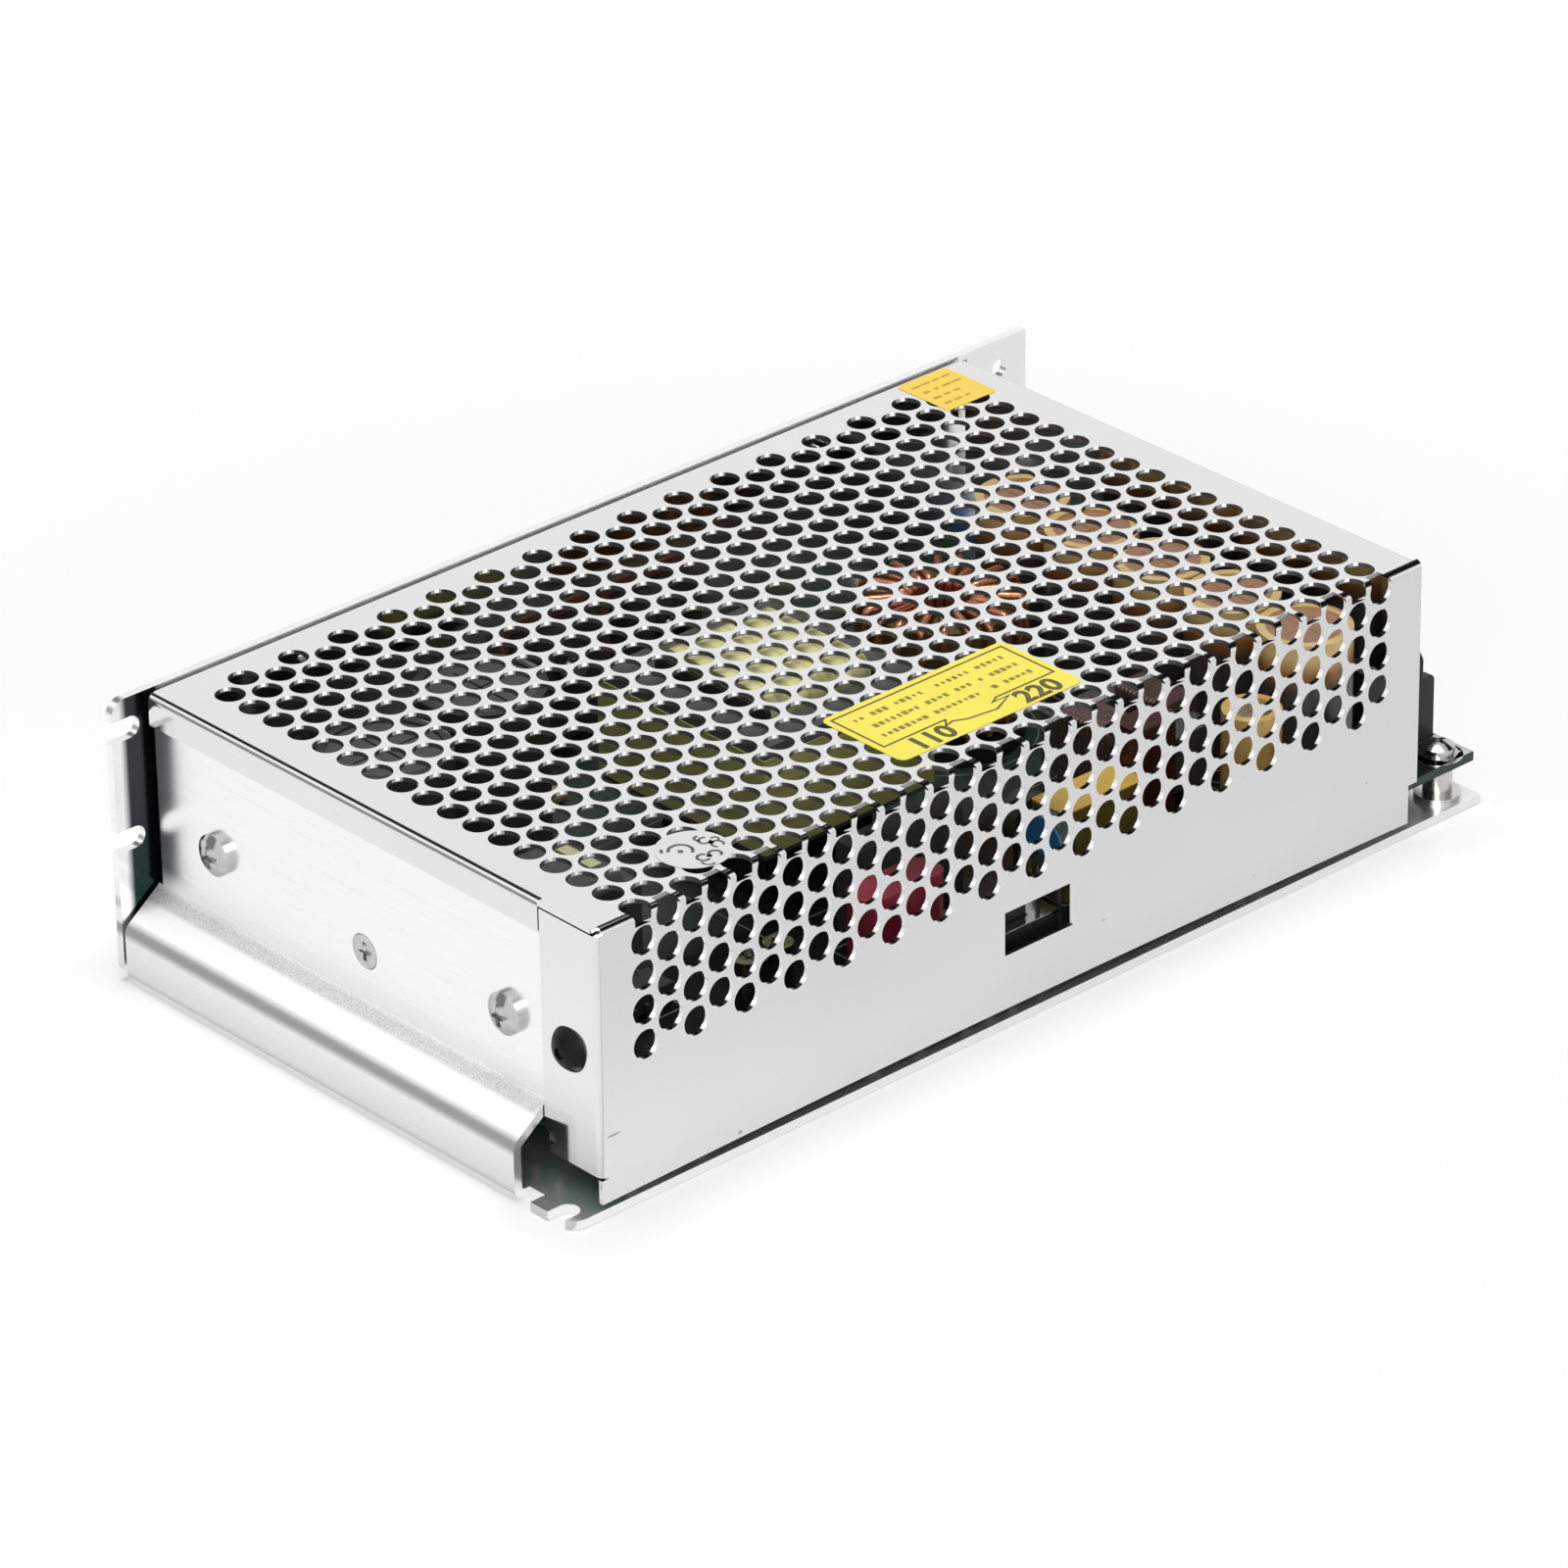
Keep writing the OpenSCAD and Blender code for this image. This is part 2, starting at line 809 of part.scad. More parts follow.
module selector_frame() {
    slot_l = knob_l + sel_travel + 2 * slack;
    slot_d = knob_d + 2 * slack;
    x0 = sel_x - sel_l / 2;
    x1 = sel_x + sel_l / 2;
    color("Silver")
    union() {
        translate([0, 0, pcb_top + sel_h])
            linear_extrude(sel_plate)
                difference() {
                    translate([x0 - sel_plate, sel_y0])
                        square([sel_l + 2 * sel_plate, sel_d]);
                    translate([sel_x - slot_l / 2, sel_y0 + (sel_d - slot_d) / 2])
                        square([slot_l, slot_d]);
                }
        block(x0 - sel_plate, x0, sel_y0 + 1.5, sel_y0 + sel_d - 1.5, pcb_top,
              pcb_top + sel_h + eps);
        block(x1, x1 + sel_plate, sel_y0 + 1.5, sel_y0 + sel_d - 1.5, pcb_top,
              pcb_top + sel_h + eps);
    }
}

module selector_slider() {
    // At rest the slider stands at the end of its travel nearest the terminals
    x = sel_x + sel_travel / 2;
    yc = sel_y0 + sel_d / 2;
    shoe_z = pcb_top + sel_h - shoe_h - slack;
    grip = 0.5;
    color("DimGray")
    difference() {
        union() {
            block(x - shoe_l / 2, x + shoe_l / 2, yc - shoe_d / 2, yc + shoe_d / 2, shoe_z,
                  shoe_z + shoe_h);
            block(x - knob_l / 2, x + knob_l / 2, yc - knob_d / 2, yc + knob_d / 2,
                  shoe_z + shoe_h - eps, sel_top + knob_h);
        }
        for (k = [-1 : 1])
            block(x + k * 1.8 - grip / 2, x + k * 1.8 + grip / 2, yc - knob_d, yc + knob_d,
                  sel_top + knob_h - grip, sel_top + knob_h + cut);
    }
}

module trimmer_body() {
    recess_d = rotor_d + 2 * slack;
    color("RoyalBlue")
    translate([trim_x, trim_y, pcb_top])
        difference() {
            translate([-trim_s / 2, -trim_s / 2, 0])
                cube([trim_s, trim_s, trim_h]);
            translate([0, 0, trim_h - 1.8])
                cylinder(d = recess_d, h = 1.8 + cut);
        }
}

module trimmer_rotor() {
    h = 1.6;
    color("Ivory")
    translate([trim_x, trim_y, pcb_top + trim_h - 1.8 + fit])
        difference() {
            cylinder(d = rotor_d, h = h);
            translate([-rotor_d * 0.4, -0.3, h - 0.8])
                cube([rotor_d * 0.8, 0.6, 1]);
            translate([0, -0.3, h - 0.8])
                rotate(90)
                    translate([0, -0.3, 0])
                        cube([rotor_d * 0.4, 0.6, 1]);
        }
}

module indicator_lamp() {
    d = 3;
    h = 3.6;
    color("LightGreen")
    translate([lamp_x, trim_y, pcb_top]) {
        cylinder(d = d + 0.8, h = 1);
        cylinder(d = d, h = h);
        translate([0, 0, h])
            rotate_extrude()
                intersection() {
                    circle(d / 2);
                    translate([0, -eps])
                        square(d);
                }
    }
}

// Core lies flat: two end bars, two outer legs and a middle leg along X
module transformer_core() {
    win_l = core_l - 2 * leg_w;
    win_wd = (core_w - 2 * leg_w - mid_leg) / 2;
    color("DarkSlateGray")
    translate([core_x - core_l / 2, core_y - core_w / 2, core_z])
        linear_extrude(core_h)
            difference() {
                square([core_l, core_w]);
                translate([leg_w, leg_w])
                    square([win_l, win_wd]);
                translate([leg_w, core_w - leg_w - win_wd])
                    square([win_l, win_wd]);
            }
}

module winding_ring(len, w, h, bore_w, bore_h, r) {
    rotate([90, 0, 90])
        linear_extrude(len)
            difference() {
                union() {
                    translate([-w / 2 + r, -h / 2])
                        square([w - 2 * r, h]);
                    translate([-w / 2, -h / 2 + r])
                        square([w, h - 2 * r]);
                    for (sy = [-1, 1], sz = [-1, 1])
                        translate([sy * (w / 2 - r), sz * (h / 2 - r)])
                            circle(r);
                }
                translate([-bore_w / 2, -bore_h / 2])
                    square([bore_w, bore_h]);
            }
}

bobbin_t = 1;
wind_over = 4;

module transformer_winding() {
    len = core_l - 2 * leg_w - 2 * bobbin_t - 2 * fit;
    color("Khaki")
    translate([core_x - len / 2, core_y, core_z + core_h / 2])
        winding_ring(len, core_w - 2 * leg_w - 2 * fit, core_h + 2 * wind_over,
                     mid_leg + 2 * bobbin_t + 4 * fit, core_h + 2 * bobbin_t + 4 * fit, 3);
}

module transformer_bobbin() {
    len = core_l - 2 * leg_w - 2 * fit;
    fw = core_w - 2 * leg_w - 2 * fit;
    fh = core_h + wind_over;
    foot_h = core_z - wind_over / 2 - pcb_top;
    color("DimGray")
    translate([core_x, core_y, core_z + core_h / 2]) {
        translate([-len / 2, 0, 0])
            winding_ring(len, mid_leg + 2 * bobbin_t + 2 * fit, core_h + 2 * bobbin_t + 2 * fit,
                         mid_leg + 2 * fit, core_h + 2 * fit, 0.5);
        for (s = [-1, 1])
            translate([s * (len / 2 - bobbin_t / 2) - bobbin_t / 2, 0, 0])
                winding_ring(bobbin_t, fw, fh, mid_leg + 2 * fit, core_h + 2 * fit, 0.5);
        for (s = [-1, 1])
            translate([s * (len / 2 - bobbin_t / 2), 0, -fh / 2 - foot_h]) {
                translate([-bobbin_t / 2, -fw / 2 + 1, 0])
                    cube([bobbin_t, fw - 2, foot_h + 1]);
                translate([-1.5 - s, -fw / 2, 0])
                    cube([3, fw, 3]);
            }
    }
}

module transformer_belt() {
    z0 = core_z + 1;
    inner = fit / 2;
    color("DarkKhaki")
    translate([core_x, core_y, z0])
        linear_extrude(core_h - 3)
            difference() {
                square([core_l + 2 * (belt_t + inner), core_w + 2 * (belt_t + inner)], center = true);
                square([core_l + 2 * inner, core_w + 2 * inner], center = true);
            }
}

drv_l = 19;
drv_w = 16;
drv_bar = 4;
drv_mid = 5;
drv_lift = 4;
drv_over = 3;
drv_z = pcb_top + drv_lift;
drv_ch = 14;

module driver_core() {
    color("DarkSlateGray")
    translate([drv_x - drv_l / 2, drv_y - drv_w / 2, drv_z])
        linear_extrude(drv_ch)
            difference() {
                square([drv_l, drv_w]);
                translate([drv_bar, -cut])
                    square([drv_l - 2 * drv_bar, (drv_w - drv_mid) / 2 + cut]);
                translate([drv_bar, (drv_w + drv_mid) / 2])
                    square([drv_l - 2 * drv_bar, (drv_w - drv_mid) / 2 + cut]);
            }
}

module driver_winding() {
    len = drv_l - 2 * drv_bar - 2 * fit;
    foot = drv_lift - drv_over;
    color("Khaki") {
        translate([drv_x - len / 2, drv_y, drv_z + drv_ch / 2])
            winding_ring(len, drv_w + 2, drv_ch + 2 * drv_over, drv_mid + 2 * fit, drv_ch + 2 * fit, 2);
        block(drv_x - len / 2, drv_x + len / 2, drv_y - 5, drv_y + 5, pcb_top,
              pcb_top + foot + eps);
    }
}

module inductor_core() {
    color("Goldenrod")
    translate([tor_x, tor_y, pcb_top + tor_lift])
        rotate_extrude()
            translate([tor_d / 4, 0])
                square([tor_d / 4, tor_h]);
}

// Each turn is a closed loop of round wire about the ring, with rounded corners
module wire_turn(w, h, rc) {
    for (k = [0 : 3]) {
        sx = (k == 0 || k == 3) ? 1 : -1;
        sz = k < 2 ? 1 : -1;
        translate([sx * (w / 2 - rc), 0, sz * (h / 2 - rc)])
            rotate([90, -90 * k, 0])
                rotate_extrude(angle = 90)
                    translate([rc, 0])
                        circle(d = wire_d);
    }
    for (s = [-1, 1]) {
        translate([s * w / 2, 0, -h / 2 + rc])
            cylinder(d = wire_d, h = h - 2 * rc);
        translate([-w / 2 + rc, 0, s * h / 2])
            rotate([0, 90, 0])
                cylinder(d = wire_d, h = w - 2 * rc);
    }
}

module inductor_winding() {
    r_mid = tor_d * 3 / 8;
    w = tor_d / 4 + wire_d + 2 * fit;
    h = tor_h + wire_d + 2 * fit;
    turns = floor(2 * PI * (r_mid - w / 2) / (wire_d + 0.4));
    color("Peru")
    translate([tor_x, tor_y, pcb_top + tor_lift + tor_h / 2])
        for (i = [0 : turns - 1])
            rotate(i * 360 / turns)
                translate([r_mid, 0, 0])
                    wire_turn(w, h, wire_d / 2 + slack);
}

module inductor_base() {
    h = tor_lift - wire_d - 2 * fit;
    color("DimGray")
    translate([tor_x, tor_y, pcb_top])
        difference() {
            cylinder(d = tor_d + 2, h = h);
            translate([0, 0, -cut])
                cylinder(d = tor_d / 3, h = h + 2 * cut);
        }
}

// Sleeved can with the rolled groove near its foot and the rim round its top
module can_capacitor(d, h) {
    groove = 0.5;
    rim = 0.5;
    difference() {
        cylinder(d = d, h = h);
        translate([0, 0, 2.2])
            rotate_extrude()
                translate([d / 2, 0])
                    circle(groove, $fn = 24);
        translate([0, 0, h - rim])
            cylinder(d = d - 3, h = rim + cut);
        translate([0, 0, h - 2 * rim])
            for (a = [0, 90])
                rotate(a)
                    translate([-d * 0.3, -0.2, 0])
                        cube([d * 0.6, 0.4, 2 * rim]);
    }
}

module bulk_capacitors() {
    color("DimGray")
    for (p = bulk_pos)
        translate([p[0], p[1], pcb_top])
            can_capacitor(bulk_d, bulk_h);
}

module output_capacitors() {
    color("Peru")
    for (i = [0 : outcap_n - 1])
        translate([outcap_x, outcap_y0 + i * outcap_pitch, pcb_top])
            can_capacitor(outcap_d, outcap_h);
}

fuse_l = 20;
fuse_x0 = outcap_front - 3 - fuse_l;
fuse_y = pcb_y1 - 13.5;
fuse_z = pcb_top + 5;
cap_l = 5;
// Centre, diameter and height of each small capacitor
small_pos = [[outcap_front - 6.6, pcb_y0 + 7, 10, 22], [pcb_x0 + 13, pcb_y0 + 15.5, 8, 12],
             [pcb_x0 + 43.9, pcb_y0 + 17.5, 6.3, 11], [pcb_x0 + 50, pcb_y0 + 17.5, 5, 11],
             [fuse_x0 - 7, fuse_y, 8, 12]];

module small_capacitors() {
    color("DarkGoldenrod")
    for (p = small_pos)
        translate([p[0], p[1], pcb_top])
            can_capacitor(p[2], p[3]);
}

module rounded_box(l, w, h, r) {
    linear_extrude(h)
        union() {
            translate([r, 0])
                square([l - 2 * r, w]);
            translate([0, r])
                square([l, w - 2 * r]);
            for (x = [r, l - r], y = [r, w - r])
                translate([x, y])
                    circle(r);
        }
}

module film_capacitor() {
    color("Gold")
    translate([film_x, film_y, pcb_top])
        rounded_box(film_l, film_w, film_h, 0.6);
}

// Corner, length, width and height of each dipped capacitor
dip_pos = [[sel_x - 28, pcb_y0 + 4, 17, 7, 20],
           [film_x + film_l + 0.6, pcb_y0 + 12, 10, 6, 23]];

module dipped_capacitors() {
    color("Brown")
    for (p = dip_pos)
        translate([p[0], p[1], pcb_top])
            rounded_box(p[2], p[3], p[4], 2.4);
}

disc_r = 4.5;
disc_t = 3.4;
disc_lift = 11.3;
disc_x = sel_x + sel_l / 2 + sel_plate + slack;

// Disc stands on edge across the board, on two wire leads
module disc_capacitor() {
    color("SteelBlue")
    translate([disc_x, pcb_y0 + 1.5 + disc_r, pcb_top + disc_lift + disc_r]) {
        rotate([0, 90, 0])
            cylinder(r = disc_r, h = disc_t);
        for (s = [-1, 1])
            translate([disc_t / 2, s * 2.5, -disc_r - disc_lift])
                cylinder(d = 0.8, h = disc_lift + disc_r - 2);
    }
}

module bridge_rectifier() {
    l = 22;
    w = 6;
    h = 17;
    lift = 3;
    leg = [1.2, 0.8, lift + eps];
    pitch = 5.08;
    color("DimGray")
    translate([core_x - 14, pcb_y0 + 17.5, pcb_top])
        difference() {
            union() {
                translate([0, 0, lift])
                    cube([l, w, h]);
                for (i = [0 : 3])
                    translate([l / 2 + (i - 1.5) * pitch - leg[0] / 2, (w - leg[1]) / 2, 0])
                        cube(leg);
            }
            translate([l / 2, -cut, lift + h - 5])
                rotate([-90, 0, 0])
                    cylinder(d = m3_hole, h = w + 2 * cut);
        }
}

// Power package with its back at Y = 0 and its screw hole on the Y axis
module power_package(z) {
    leg_gap = 5.45;
    difference() {
        translate([-pkg_w / 2, 0, -pkg_dn])
            cube([pkg_w, pkg_t, pkg_dn + pkg_up]);
        translate([0, -cut, 0])
            rotate([-90, 0, 0])
                cylinder(d = pan_shank + 2 * fit, h = pkg_t + 2 * cut);
    }
    for (k = [-1 : 1])
        translate([k * leg_gap - 0.6, 2.2, pcb_top - z])
            cube([1.2, 0.6, z - pkg_dn - pcb_top + eps]);
}

module end_rectifiers() {
    color("DimGray")
    for (y = end_y)
        translate([wall_in_x + pad_t, y, end_z])
            rotate([0, 0, -90])
                power_package(end_z);
}

reg_tab = 1.3;

module end_regulator() {
    body_top = -3.6;
    body_low = -12;
    color("DimGray")
    translate([wall_in_x + pad_t, flat_y, flat_z])
        rotate([0, 0, -90]) {
            difference() {
                translate([-5, 0, body_low])
                    cube([10, reg_tab, 3 - body_low]);
                translate([0, -cut, 0])
                    rotate([-90, 0, 0])
                        cylinder(d = m3_hole, h = reg_tab + 2 * cut);
            }
            translate([-5, 0, body_low])
                cube([10, 4.4, body_top - body_low]);
            for (k = [-1 : 1])
                translate([k * 2.54 - 0.4, 2.2, pcb_top - flat_z])
                    cube([0.8, 0.5, flat_z + body_low - pcb_top + eps]);
        }
}

module side_transistors() {
    color("DimGray")
    for (x = side_x)
        translate([x, wall_in_y - pad_t, side_z])
            rotate([0, 0, 180])
                power_package(side_z);
}

module pad_sheet(w, up, dn) {
    translate([0, pad_t, 0])
        rotate([90, 0, 0])
            linear_extrude(pad_t)
                difference() {
                    translate([-w / 2, -dn])
                        square([w, up + dn]);
                    circle(d = pan_shank + 2 * fit);
                }
}

module insulating_pads() {
    color("RosyBrown") {
        for (y = end_y)
            translate([wall_in_x, y, end_z])
                rotate([0, 0, -90])
                    pad_sheet(pkg_w + 2, pkg_up + 2, pkg_dn + 1);
        translate([wall_in_x, flat_y, flat_z])
            rotate([0, 0, -90])
                pad_sheet(12, 4, 13);
        for (x = side_x)
            translate([x, wall_in_y, side_z])
                rotate([0, 0, 180])
                    pad_sheet(pkg_w + 2, pkg_up + 2, pkg_dn + 1);
    }
}

choke_l = 18;
choke_w = 22;
choke_h = 16;
choke_bar = 5;
choke_wrap = 2.8;
choke_lift = 4;
choke_pos = [outcap_front - gap - choke_l / 2 - choke_wrap / 2, pcb_y0 + 29.5];

module choke_core() {
    color("DarkSlateGray")
    translate([choke_pos[0] - choke_l / 2, choke_pos[1] - choke_w / 2, pcb_top + choke_lift])
        linear_extrude(choke_bar * 2)
            difference() {
                square([choke_l, choke_w]);
                translate([choke_bar, choke_bar])
                    square([choke_l - 2 * choke_bar, choke_w - 2 * choke_bar]);
            }
}

module choke_winding() {
    len = choke_w - 2 * choke_bar - 2 * fit;
    foot = choke_lift + choke_bar - choke_h / 2;
    color("IndianRed")
    for (s = [-0.5, 0.5])
        translate([choke_pos[0] + s * (choke_l - choke_bar), choke_pos[1],
                   pcb_top + choke_lift + choke_bar])
            rotate([0, 0, 90])
                translate([-len / 2, 0, 0]) {
                    winding_ring(len, choke_bar + choke_wrap, choke_h, choke_bar + 2 * fit,
                                 2 * choke_bar + 2 * fit, 1);
                    translate([2, -1.5, -choke_h / 2 - foot])
                        cube([len - 4, 3, foot + fit]);
                }
}

fuse_tube_d = 4.8;
fuse_cap_d = 5.8;

module fuse_tube() {
    wall = 0.6;
    inset = 0.5;
    color("LightCyan")
    translate([fuse_x0 + inset, fuse_y, fuse_z])
        rotate([0, 90, 0])
            difference() {
                cylinder(d = fuse_tube_d, h = fuse_l - 2 * inset);
                translate([0, 0, -cut])
                    cylinder(d = fuse_tube_d - 2 * wall, h = fuse_l + 2 * cut);
            }
}

module fuse_caps() {
    end_t = 0.4;
    color("Silver")
    for (s = [0, 1])
        translate([fuse_x0 + s * fuse_l, fuse_y, fuse_z])
            rotate([0, s == 0 ? 90 : -90, 0])
                difference() {
                    cylinder(d = fuse_cap_d, h = cap_l);
                    translate([0, 0, end_t])
                        cylinder(d = fuse_tube_d + slack, h = cap_l);
                }
}

module fuse_clips() {
    r = fuse_cap_d / 2 + fit / 2;
    t = 0.4;
    arm = 2;
    clip_l = 3.6;
    leg = 1.2;
    inset = 0.6;
    color("Silver")
    for (s = [0, 1])
        translate([fuse_x0 + inset + s * (fuse_l - 2 * inset - clip_l), fuse_y, fuse_z])
            rotate([90, 0, 90])
                linear_extrude(clip_l)
                    union() {
                        ring_sector(r, r + t, 180, 270);
                        ring_sector(r, r + t, 270, 360);
                        translate([-r - t, -eps])
                            square([t, arm]);
                        translate([r, -eps])
                            square([t, arm]);
                        translate([-leg / 2, pcb_top - fuse_z])
                            square([leg, fuse_z - pcb_top - r - t / 2]);
                    }
}

module thermistor() {
    r = 5;
    t = 4;
    lift = 3;
    color("DarkOliveGreen")
    translate([film_x + 5, film_y + film_w + t + 4, pcb_top + lift + r]) {
        rotate([90, 0, 0])
            cylinder(r = r, h = t);
        for (s = [-1, 1])
            translate([s * 2.5, -t / 2, -r - lift])
                cylinder(d = 0.8, h = lift + r - 3);
    }
}

module control_chip() {
    n = 8;
    pitch = 2.54;
    l = 20;
    w = 6.4;
    h = 3.3;
    lift = 0.8;
    pin = [0.5, 0.4, 2.6];
    reach = 0.9;
    color("DimGray")
    translate([pcb_x0 + 17.9, drv_y - 17, pcb_top]) {
        difference() {
            translate([0, 0, lift])
                cube([l, w, h]);
            translate([0, w / 2, h])
                cylinder(r = reach, h = lift + cut);
        }
        for (i = [0 : n - 1], s = [0, 1])
            translate([l / 2 + (i - (n - 1) / 2) * pitch - pin[0] / 2, s * w, 0]) {
                translate([0, s == 0 ? -reach : reach - pin[1], 0])
                    cube(pin);
                translate([0, s == 0 ? -reach : -eps, pin[2] - pin[1]])
                    cube([pin[0], reach + eps, pin[1]]);
            }
    }
}

res_pos = [[pcb_x0 + 31.9, pcb_y0 + 9.5], [pcb_x0 + 31.9, pcb_y0 + 13.5],
           [pcb_x0 + 19, pcb_y0 + 7.5], [core_x + 14, core_y + 30.5], [core_x + 14, core_y + 34.5],
           [bulk_x1 + bulk_d / 2 + 7, pcb_y1 - 13.5]];

module resistors() {
    body_d = 3;
    body_l = 7.5;
    span = 10.5;
    wire = 0.8;
    z = 1.7;
    color("Tan")
    for (p = res_pos)
        translate([p[0], p[1], pcb_top + z]) {
            translate([-body_l / 2, 0, 0])
                rotate([0, 90, 0])
                    cylinder(d = body_d, h = body_l);
            translate([-span / 2 - wire / 2, 0, 0])
                rotate([0, 90, 0])
                    cylinder(d = wire, h = span + wire);
            for (s = [-1, 1])
                translate([s * span / 2, 0, -z])
                    cylinder(d = wire, h = z);
        }
}

label_t = 0.1;
label_x0 = sel_x - 18.9;
label_l = 39.3;
label_w = 19;

module selector_label() {
    color("Yellow")
    translate([label_x0, y_near + 7.7, unit_h])
        rounded_box(label_l, label_w, label_t, 1.5);
}

module corner_label() {
    l = 11.3;
    w = 12.8;
    color("Yellow")
    translate([cover_x1 - 5.2 - l, cover_y1 - bend_r - w, unit_h])
        rounded_box(l, w, label_t, 0.8);
}

module round_sticker() {
    color("White")
    translate([cover_x0 + 27.8, y_near + 9.1, unit_h])
        cylinder(r = 6, h = label_t);
}

chassis();
cover();
cover_rivet();
cover_screws();
end_pan_screws();
end_flat_screw();
side_flat_screws();
power_nuts();
circuit_board();
board_standoffs();
board_washers();
board_screws();
terminal_block();
terminal_contacts();
terminal_clamps();
terminal_screws();
selector_body();
selector_frame();
selector_slider();
trimmer_body();
trimmer_rotor();
indicator_lamp();
transformer_core();
transformer_winding();
transformer_bobbin();
transformer_belt();
driver_core();
driver_winding();
inductor_core();
inductor_winding();
inductor_base();
bulk_capacitors();
output_capacitors();
small_capacitors();
film_capacitor();
dipped_capacitors();
disc_capacitor();
bridge_rectifier();
end_rectifiers();
end_regulator();
side_transistors();
insulating_pads();
choke_core();
choke_winding();
fuse_tube();
fuse_caps();
fuse_clips();
thermistor();
control_chip();
resistors();
selector_label();
corner_label();
round_sticker();
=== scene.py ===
"""Scene of an enclosed switching power supply: finishes, print, soldered detail, studio and camera.

Sizes are written in millimetres and become metres when a mesh is made. The frame's +X end carries the
terminals, -Y is the perforated long side and +Z is up.
"""

import logging
import math
from dataclasses import dataclass, field
from enum import Enum
from functools import partial, reduce
from typing import ClassVar, Iterable, Optional, Union

import bpy
from mathutils import Matrix, Vector


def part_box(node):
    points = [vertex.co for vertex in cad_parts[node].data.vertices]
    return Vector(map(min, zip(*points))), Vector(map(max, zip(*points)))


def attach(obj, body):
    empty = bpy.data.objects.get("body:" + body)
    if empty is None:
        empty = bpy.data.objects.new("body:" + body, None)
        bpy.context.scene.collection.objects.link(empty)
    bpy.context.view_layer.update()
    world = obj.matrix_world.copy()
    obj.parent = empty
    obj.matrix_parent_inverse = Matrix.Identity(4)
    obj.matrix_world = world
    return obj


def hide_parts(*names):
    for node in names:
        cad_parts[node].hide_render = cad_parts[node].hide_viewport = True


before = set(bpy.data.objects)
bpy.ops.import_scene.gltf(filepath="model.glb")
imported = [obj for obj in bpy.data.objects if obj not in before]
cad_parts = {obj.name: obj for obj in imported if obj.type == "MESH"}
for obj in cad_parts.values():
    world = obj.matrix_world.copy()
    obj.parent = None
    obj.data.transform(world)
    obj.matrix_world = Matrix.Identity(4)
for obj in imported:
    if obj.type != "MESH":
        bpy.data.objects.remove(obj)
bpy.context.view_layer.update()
LOG = logging.getLogger("power_supply")
MM = 0.001
# Least part of a normal along an axis with which a surface counts as facing that way.
FACING = 0.5
Colour = tuple[float, float, float]
Triple = tuple[float, float, float]
Quad = tuple[float, float, float, float]
Pair = tuple[float, float]
Loop = tuple[int, ...]
Fade = tuple[str, float, float, float, float]
MeshParts = tuple[list[Triple], list[Loop]]
Socket = bpy.types.NodeSocket
Value = Union[Socket, float]
Paint = Union[Socket, Colour]
Feeds = dict[Union[int, str], object]


class Body(Enum):
    """Moving bodies that a piece can ride on."""

    HOUSING = "housing"
    SELECTOR = "selector"
    TRIMMER = "trimmer"


class Lay(Enum):
    """Direction of the rolling lines of a sheet, as the scale of its pattern along X, Y and Z."""

    EVEN = (1.0, 1.0, 1.0)
    ALONG_X = (0.03, 1.0, 1.0)
    ALONG_Y = (1.0, 0.03, 1.0)


